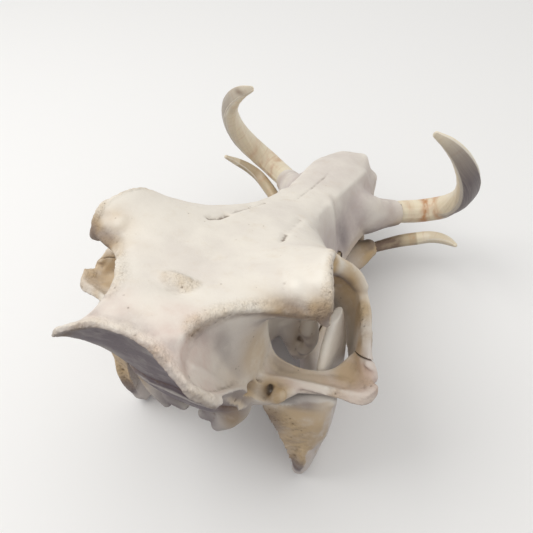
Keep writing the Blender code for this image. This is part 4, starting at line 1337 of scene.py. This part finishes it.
def give_out(group, colour, roughness, height):
    """Ends a node group: its colour, roughness and height of fine relief are linked to its outputs."""
    result = group.nodes.new("NodeGroupOutput")
    for label, output in (("Color", colour), ("Roughness", roughness), ("Height", height)):
        group.links.new(output, result.inputs[label])
    return group


def weathering_and_shade_group():
    """Old bone: pale and lilac patches, the lilac partly painted shade, stains, painted shade on faces that
    look down or back and in holes, grime and painted shade in hollows, pale worn edges, pores and fine grain.
    """
    colours = ("White", "Lilac", "Tan", "Pink", "Painted_shade", "Brown")
    group, given = new_group("Bone weathering", colours, ("Patches",))
    place = add(group, "ShaderNodeTexCoord").outputs["Object"]
    masks = masks_of(group, "tan", "pink", "painted_shade", "rough", "dirt_and_shade", "edge", "cool")
    cloud = noise(group, place, 0.045, detail=4)
    mottled = noise(group, place, 0.012, detail=4, rough=0.65)
    speckle = noise(group, place, 0.0016, rough=0.7)
    uneven = band_of(group, sum_of(group, (mottled, 0.7), (cloud, 0.5)), 0.2, 0.62)
    shade_mottle = band_of(group, sum_of(group, (mottled, 0.5), (cloud, 0.5)), 0.1, 0.55)
    cells = add(group, "ShaderNodeTexVoronoi", {"Vector": place, "Scale": 1 / PORE_SPACING})
    inputs = {0: cells.outputs["Distance"], 1: PORE_SHARE}
    dot = add(group, "ShaderNodeMath", inputs, operation="LESS_THAN").outputs[0]
    pore = times(group, dot, band_of(group, sum_of(group, (mottled, 1.0), (masks["cool"], -0.3)), 0.54, 0.66))
    grains = times(group, masks["rough"], band_of(group, speckle, 0.5, 0.68))
    base = layered(
        group,
        given["White"],
        (times(group, band_of(group, cloud, 0.42, 0.72), given["Patches"]), given["Lilac"]),
        # Cool lilac: partly the bone's own tint, partly painted shade on the snout's lower sides, the sheath
        # and an arch.
        (times(group, masks["cool"], band_of(group, mottled, 0.2, 0.6, 0.65, 1.0)), given["Lilac"]),
        (times(group, band_of(group, mottled, 0.5, 0.8), 0.16), given["Tan"]),
        (times(group, masks["pink"], sum_of(group, (mottled, 1.5))), given["Pink"]),
        (times(group, masks["tan"], uneven), given["Tan"]),
        # Painted shade on faces that look down or back, broken up by noise.
        (times(group, masks["painted_shade"], shade_mottle), given["Painted_shade"]),
        (times(group, masks["edge"], 0.45), PALE_EDGE),
        (times(group, masks["rough"], band_of(group, mottled, 0.3, 0.7, 0.1, 0.4)), given["Tan"]),
        (times(group, grains, 0.16), given["Brown"]),
        (times(group, pore, 0.45), given["Brown"]),
        # Grime and painted shade in narrow hollows, and painted shade inside holes and gaps.
        (times(group, masks["dirt_and_shade"], 0.85), given["Brown"]),
    )
    dull = sum_of(group, (speckle, 0.5), (masks["rough"], 0.4), (masks["edge"], -0.3))
    coarse = times(group, masks["rough"], noise(group, place, 0.0024, detail=2, rough=0.6))
    height = sum_of(group, (speckle, 0.3), (mottled, 0.5), (pore, -0.6), (coarse, 4.0))
    return give_out(group, base, band_of(group, dull, 0.0, 0.8, 0.5, 0.85), height)


def ivory_group():
    """Tusk ivory: a cream body with lengthwise streaks, brown bands, a stained root, a grey worn face, and
    dark marks with painted shade.
    """
    group, given = new_group("Ivory growth", ("Cream", "Body", "Band", "Worn", "Root"))
    masks = masks_of(group, "wear", "band", "rim", "cream", "root", "marks_and_shade")
    run = add(group, "ShaderNodeAttribute", attribute_name="run").outputs["Vector"]
    drawn, ringed = (
        add(group, "ShaderNodeVectorMath", {0: run, 1: stretch}, operation="MULTIPLY").outputs[0]
        for stretch in ((0.03, 1.0, 1.0), (1.0, 0.12, 0.12))
    )
    streak = noise(group, drawn, 1.1, detail=4, rough=0.65)
    rings = noise(group, ringed, 3.5, rough=0.6)
    cloud = noise(group, run, 9.0)
    base = layered(
        group,
        given["Body"],
        (masks["cream"], given["Cream"]),
        (band_of(group, streak, 0.5, 0.8, 0, 0.35), given["Body"]),
        (band_of(group, rings, 0.5, 0.75, 0, 0.2), given["Band"]),
        (times(group, masks["root"], band_of(group, cloud, 0.25, 0.6, 0.6, 1)), given["Root"]),
        (times(group, masks["band"], band_of(group, cloud, 0.35, 0.6, 0.3, 1)), given["Band"]),
        (times(group, masks["wear"], band_of(group, streak, 0.3, 0.6, 0.9, 1)), given["Worn"]),
        (times(group, masks["rim"], 0.8), PALE_RIM),
        # Dark marks, and painted shade along the worn face's edge and under the tusk, in the root's colour.
        (times(group, masks["marks_and_shade"], 0.9), given["Root"]),
    )
    gloss = sum_of(group, (streak, 0.5), (masks["wear"], 0.2), (masks["root"], 0.4))
    height = sum_of(group, (streak, 0.6), (rings, 0.12))
    return give_out(group, base, band_of(group, gloss, 0.1, 0.8, 0.3, 0.6), height)


def enamel_group():
    """Tooth enamel: cream, browner towards the gum, with dark tartar in the folds."""
    group, given = new_group("Enamel wear", ("Cream", "Gum", "Tartar"))
    place = add(group, "ShaderNodeTexCoord").outputs["Object"]
    masks = masks_of(group, "gum", "dirt_and_shade")
    cloud = noise(group, place, 0.006, detail=4, rough=0.6)
    fine = noise(group, place, 0.0012)
    base = layered(
        group,
        given["Cream"],
        (band_of(group, cloud, 0.45, 0.8, 0, 0.4), given["Gum"]),
        (times(group, masks["gum"], band_of(group, cloud, 0.2, 0.6, 0.4, 1)), given["Gum"]),
        (times(group, masks["dirt_and_shade"], 0.85), given["Tartar"]),
    )
    height = sum_of(group, (cloud, 0.5), (fine, 0.3))
    return give_out(group, base, band_of(group, cloud, 0.3, 0.7, 0.22, 0.45), height)


def finish_from(group, name, colours, bump, distance, specular=0.35, subsurface=0.0):
    """A material from a group's colour, roughness and height, with the group's own values set.

    distance is the height of the fine relief, in the animal's millimetres.
    """
    material = bpy.data.materials.new(name)
    material.use_nodes = True
    tree = material.node_tree
    shader = tree.nodes["Principled BSDF"]
    node = tree.nodes.new("ShaderNodeGroup")
    node.node_tree = group
    for socket, value in colours.items():
        node.inputs[socket].default_value = value if isinstance(value, float) else (*value, 1)
    bumps = {"Strength": bump, "Distance": distance * MM, "Height": node.outputs["Height"]}
    tree.links.new(add(tree, "ShaderNodeBump", bumps).outputs["Normal"], shader.inputs["Normal"])
    tree.links.new(node.outputs["Color"], shader.inputs["Base Color"])
    tree.links.new(node.outputs["Roughness"], shader.inputs["Roughness"])
    shader.inputs["Specular IOR Level"].default_value = specular
    shader.inputs["Subsurface Weight"].default_value = subsurface
    shader.inputs["Subsurface Radius"].default_value = (0.003, 0.002, 0.0012)
    return material


def shared_group(maker, name):
    """The node group of that name, made the first time that it is asked for."""
    return bpy.data.node_groups.get(name) or maker()


def named_colours(settings, *names):
    """The settings' colours of those names, for the sockets of a group."""
    return {name.capitalize(): getattr(settings, name) for name in names}


def bone_material(name, settings, patches):
    """Weathered bone in the settings' colours, with more or less of the lilac patches."""
    values = named_colours(settings, "white", "lilac", "tan", "pink", "painted_shade", "brown")
    group = shared_group(weathering_and_shade_group, "Bone weathering")
    return finish_from(group, name, {**values, "Patches": patches}, bump=0.6, distance=0.9)


def ivory_material(name, settings):
    """Polished ivory in the settings' colours."""
    values = named_colours(settings, "cream", "body", "band", "worn", "root")
    group = shared_group(ivory_group, "Ivory growth")
    return finish_from(group, name, values, bump=0.25, distance=0.3, specular=0.45, subsurface=0.05)


def enamel_material(settings):
    """Enamel in the settings' colours."""
    values = {**named_colours(settings, "cream", "gum"), "Tartar": TARTAR}
    group = shared_group(enamel_group, "Enamel wear")
    return finish_from(group, "Enamel", values, bump=0.3, distance=0.25, specular=0.5)


def set_tusks(jaw, right_keys, left_keys, settings):
    """The two tusks of a jaw, each with its own look and material."""
    for side, name, keys in ((1, "right", right_keys), (-1, "left", left_keys)):
        obj = tusk(f"{jaw}_tusk_{name}_ivory", keys, side, TUSK_LOOKS[f"{jaw}_{name}"], settings)
        material = ivory_material(f"{jaw.capitalize()} {name} ivory", settings)
        finish_piece(obj, f"{jaw}_tusk_{name}", material)


def set_teeth(name, shape, ends, material):
    """A tooth on the right and its mirror image on the left. ends are the z of its root and its crown."""
    for side, made in (("right", shape), ("left", mirrored(shape))):
        obj = make_object(f"{name}_{side}_enamel", made)
        crown_masks(obj, *ends)
        finish_piece(obj, f"{name}_{side}", material)


def lay_floor(settings):
    """A wide plain floor at the height of the table, as a grid of squares. It isn't seen by bounced light."""
    span = np.linspace(-FLOOR_REACH, FLOOR_REACH, FLOOR_CELLS + 1)
    x, y = np.meshgrid(span, span)
    points = np.column_stack([x.ravel(), y.ravel(), np.zeros(x.size)])
    row = FLOOR_CELLS + 1
    start = (np.arange(FLOOR_CELLS)[:, None] * row + np.arange(FLOOR_CELLS)[None, :]).ravel()
    faces = np.stack([start, start + 1, start + row + 1, start + row], axis=-1)
    mesh = bpy.data.meshes.new("Floor")
    mesh.from_pydata(points.tolist(), [], faces.tolist())
    floor = bpy.data.objects.new("Floor", mesh)
    bpy.context.scene.collection.objects.link(floor)
    material = bpy.data.materials.new("Floor")
    material.use_nodes = True
    tree = material.node_tree
    shader = tree.nodes["Principled BSDF"]
    place = add(tree, "ShaderNodeTexCoord").outputs["Object"]
    tree.links.new(band_of(tree, noise(tree, place, 0.4), 0.3, 0.7, 0.75, 0.9), shader.inputs["Roughness"])
    shader.inputs["Base Color"].default_value = (*settings.floor, 1)
    shader.inputs["Specular IOR Level"].default_value = 0.1
    mesh.materials.append(material)
    floor.visible_diffuse = False


def paint_sky(world, settings):
    """Even pale light from above and a dim one from below, with a soft change at the horizon."""
    world.use_nodes = True
    tree = world.node_tree
    way = add(tree, "ShaderNodeTexCoord").outputs["Generated"]
    height = add(tree, "ShaderNodeSeparateXYZ", {"Vector": way}).outputs["Z"]
    colour = blend(tree, band_of(tree, height, -0.25, 0.05), SKY_BELOW, SKY_ABOVE)
    tree.links.new(colour, tree.nodes["Background"].inputs["Color"])
    tree.nodes["Background"].inputs["Strength"].default_value = settings.sky_strength


def hang_key_light(settings):
    """A square soft light that looks at the middle of the skull."""
    lamp = bpy.data.lights.new("Key", "AREA")
    lamp.size = KEY_SIZE
    lamp.energy = settings.key_power
    lamp.color = KEY_COLOUR
    obj = bpy.data.objects.new("Key", lamp)
    obj.location = KEY_PLACE
    obj.rotation_euler = (Vector((0, 0, 0.1)) - Vector(KEY_PLACE)).to_track_quat("-Z", "Y").to_euler()
    bpy.context.scene.collection.objects.link(obj)


def place_camera(settings):
    """The camera of the photograph. Its axes are right, right x forward and backwards."""
    camera = bpy.data.cameras.new("Photo view")
    camera.sensor_width = 36.0
    camera.lens = settings.lens
    camera.clip_start = 0.01
    right, forward = Vector(CAMERA_RIGHT).normalized(), Vector(CAMERA_FORWARD).normalized()
    place = Matrix((right, right.cross(forward), -forward)).transposed().to_4x4()
    place.translation = Vector(CAMERA_PLACE) * MM
    eye = bpy.data.objects.new("Photo view", camera)
    eye.matrix_world = place
    bpy.context.scene.collection.objects.link(eye)
    bpy.context.scene.camera = eye


def length_setting(name, description, millimetres):
    """A length that a user can change, given in the animal's millimetres."""
    return bpy.props.FloatProperty(
        name=name, description=description, default=millimetres * MM, unit="LENGTH", precision=5
    )


def count_setting(name, description, default):
    """A whole number that a user can change."""
    return bpy.props.IntProperty(name=name, description=description, default=default)


def colour_setting(name, description, default):
    """A colour that a user can change."""
    return bpy.props.FloatVectorProperty(name=name, description=description, default=default, subtype="COLOR")


class BoneSettings(bpy.types.PropertyGroup):
    """Sizes and colours of the bone."""

    voxel: length_setting("Voxel", "Size of the cubes that weld the bone's forms together", 1.1)
    rough_height: length_setting("Rough height", "Height of the grain on the crests and rims", 0.45)
    pore_depth: length_setting("Pore depth", "Depth of the pores", 0.9)
    smoothing: count_setting("Smoothing", "Rounds of smoothing after the weld", 3)
    most_triangles: count_setting("Most triangles", "Largest number of triangles kept in one bone", 196000)
    white: colour_setting("White", "Colour of clean bleached bone", (0.86, 0.81, 0.73))
    # Lilac also tints the cool mask, which is partly painted shade.
    lilac: colour_setting("Lilac", "Colour of the cool grey patches", (0.60, 0.53, 0.505))
    tan: colour_setting("Tan", "Colour of the stained inner faces", (0.60, 0.44, 0.25))
    pink: colour_setting("Pink", "Colour of the porous band by the nuchal crest", (0.72, 0.56, 0.50))
    # The colour painted as shade on faces that look down or back and under the crests and rims.
    painted_shade: colour_setting("Painted_shade", "Colour of the braincase's dusky underside and back", (0.15, 0.12, 0.135))
    # Brown also stands for the painted shade in narrow hollows, holes and gaps.
    brown: colour_setting("Brown", "Colour of dirt in pores and cracks", (0.13, 0.075, 0.04))


class IvorySettings(bpy.types.PropertyGroup):
    """Fineness and colours of the tusks."""

    rings_per_span: count_setting("Rings", "Rings between two keys of a tusk's curve", 28)
    sides: count_setting("Sides", "Points round a tusk", 96)
    cream: colour_setting("Cream", "Colour of clean ivory", (0.87, 0.78, 0.6))
    body: colour_setting("Body", "Colour of the duller ivory", (0.6, 0.5, 0.34))
    band: colour_setting("Band", "Colour of the stained bands", (0.55, 0.27, 0.12))
    worn: colour_setting("Worn", "Colour of the worn face", (0.17, 0.14, 0.145))
    root: colour_setting("Root", "Colour of the dark roots", (0.22, 0.15, 0.11))


class ToothSettings(bpy.types.PropertyGroup):
    """Shape and colours of the teeth."""

    ribs: bpy.props.FloatProperty(
        name="Ribs",
        description="Depth of a cheek tooth's folds, as a share of its half width",
        default=0.16,
        subtype="FACTOR",
    )
    cream: colour_setting("Enamel", "Colour of clean enamel", (0.78, 0.7, 0.55))
    gum: colour_setting("Gum line", "Colour of a tooth near the bone", (0.42, 0.3, 0.17))


class StudioSettings(bpy.types.PropertyGroup):
    """The plain studio round the skull."""

    floor: colour_setting("Floor", "Colour of the floor", (0.92, 0.92, 0.92))
    key_power: bpy.props.FloatProperty(
        name="Key", description="Power of the large light over the snout", default=8.0, unit="POWER"
    )
    sky_strength: bpy.props.FloatProperty(
        name="Sky", description="Strength of the even light from all round", default=0.76
    )
    lens: bpy.props.FloatProperty(
        name="Lens", description="The camera's focal length", default=38.28, unit="CAMERA"
    )


class SKULL_OT_cranium(bpy.types.Operator):
    """Builds the cranium with its crests, orbits, arches and sutures"""

    bl_idname = "skull.cranium"
    bl_label = "Cranium"

    def execute(self, context):
        settings = context.scene.skull_bone
        material = bone_material("Weathered bone", settings, patches=0.3)
        finish_piece(build_cranium(settings), "cranium", material)
        return {"FINISHED"}


class SKULL_OT_mandible(bpy.types.Operator):
    """Builds the mandible with its rami, condyles and chin"""

    bl_idname = "skull.mandible"
    bl_label = "Mandible"

    def execute(self, context):
        settings = context.scene.skull_bone
        material = bone_material("Jaw bone", settings, patches=0.8)
        finish_piece(build_mandible(settings), "mandible", material)
        return {"FINISHED"}


class SKULL_OT_upper_tusks(bpy.types.Operator):
    """Builds the two upper tusks with their worn faces"""

    bl_idname = "skull.upper_tusks"
    bl_label = "Upper tusks"

    def execute(self, context):
        set_tusks("upper", UPPER_TUSK, UPPER_TUSK, context.scene.skull_ivory)
        return {"FINISHED"}


class SKULL_OT_lower_tusks(bpy.types.Operator):
    """Builds the two lower tusks"""

    bl_idname = "skull.lower_tusks"
    bl_label = "Lower tusks"

    def execute(self, context):
        set_tusks("lower", LOWER_TUSK_RIGHT, LOWER_TUSK_LEFT, context.scene.skull_ivory)
        return {"FINISHED"}


class SKULL_OT_cheek_teeth(bpy.types.Operator):
    """Builds the folded cheek teeth of both jaws"""

    bl_idname = "skull.cheek_teeth"
    bl_label = "Cheek teeth"

    def execute(self, context):
        settings = context.scene.skull_teeth
        material = enamel_material(settings)
        for kind in CHEEK_TEETH:
            for jaw, ends in (("upper", UPPER_ROOT_AND_CROWN), ("lower", LOWER_ROOT_AND_CROWN)):
                set_teeth(f"{jaw}_{kind}", cheek_tooth(kind, ends, ribs=settings.ribs), ends, material)
        return {"FINISHED"}


class SKULL_OT_incisors(bpy.types.Operator):
    """Builds the small peg teeth at the front"""

    bl_idname = "skull.incisors"
    bl_label = "Incisors"

    def execute(self, context):
        material = enamel_material(context.scene.skull_teeth)
        set_teeth("upper_incisor", upper_peg(), UPPER_PEG_ENDS, material)
        for number, x in enumerate(LOWER_INCISORS, 1):
            set_teeth(f"lower_incisor_{number}", lower_peg(x), LOWER_PEG_ENDS, material)
        return {"FINISHED"}


class SKULL_OT_studio(bpy.types.Operator):
    """Sets the floor, the lights and the camera"""

    bl_idname = "skull.studio"
    bl_label = "Studio"

    def execute(self, context):
        scene = context.scene
        settings = scene.skull_studio
        lay_floor(settings)
        scene.world = bpy.data.worlds.new("Studio sky")
        paint_sky(scene.world, settings)
        hang_key_light(settings)
        place_camera(settings)
        scene.view_settings.view_transform = "Standard"
        return {"FINISHED"}


class SKULL_PT_parts(bpy.types.Panel):
    """Lists the pieces of the skull and their settings"""

    bl_idname = "SKULL_PT_parts"
    bl_label = "Warthog skull"
    bl_space_type = "VIEW_3D"
    bl_region_type = "UI"
    bl_category = "Skull"

    def draw(self, context):
        for operator in OPERATORS:
            self.layout.operator(operator.bl_idname)
        for owner, kind in SETTINGS.items():
            box = self.layout.box()
            box.label(text=kind.__doc__)
            for name in kind.__annotations__:
                box.prop(getattr(context.scene, owner), name)


OPERATORS = (
    SKULL_OT_cranium,
    SKULL_OT_mandible,
    SKULL_OT_upper_tusks,
    SKULL_OT_lower_tusks,
    SKULL_OT_cheek_teeth,
    SKULL_OT_incisors,
    SKULL_OT_studio,
)
SETTINGS = {
    "skull_bone": BoneSettings,
    "skull_ivory": IvorySettings,
    "skull_teeth": ToothSettings,
    "skull_studio": StudioSettings,
}


def register():
    for kind in (*SETTINGS.values(), *OPERATORS, SKULL_PT_parts):
        bpy.utils.register_class(kind)
    for owner, kind in SETTINGS.items():
        setattr(bpy.types.Scene, owner, bpy.props.PointerProperty(type=kind))


def unregister():
    for owner in SETTINGS:
        delattr(bpy.types.Scene, owner)
    for kind in reversed((*SETTINGS.values(), *OPERATORS, SKULL_PT_parts)):
        bpy.utils.unregister_class(kind)


def main():
    """Builds every piece in order."""
    register()
    bpy.ops.skull.cranium()
    bpy.ops.skull.mandible()
    bpy.ops.skull.upper_tusks()
    bpy.ops.skull.lower_tusks()
    bpy.ops.skull.cheek_teeth()
    bpy.ops.skull.incisors()
    bpy.ops.skull.studio()
    bpy.context.view_layer.update()


if __name__ == "__main__":
    main()
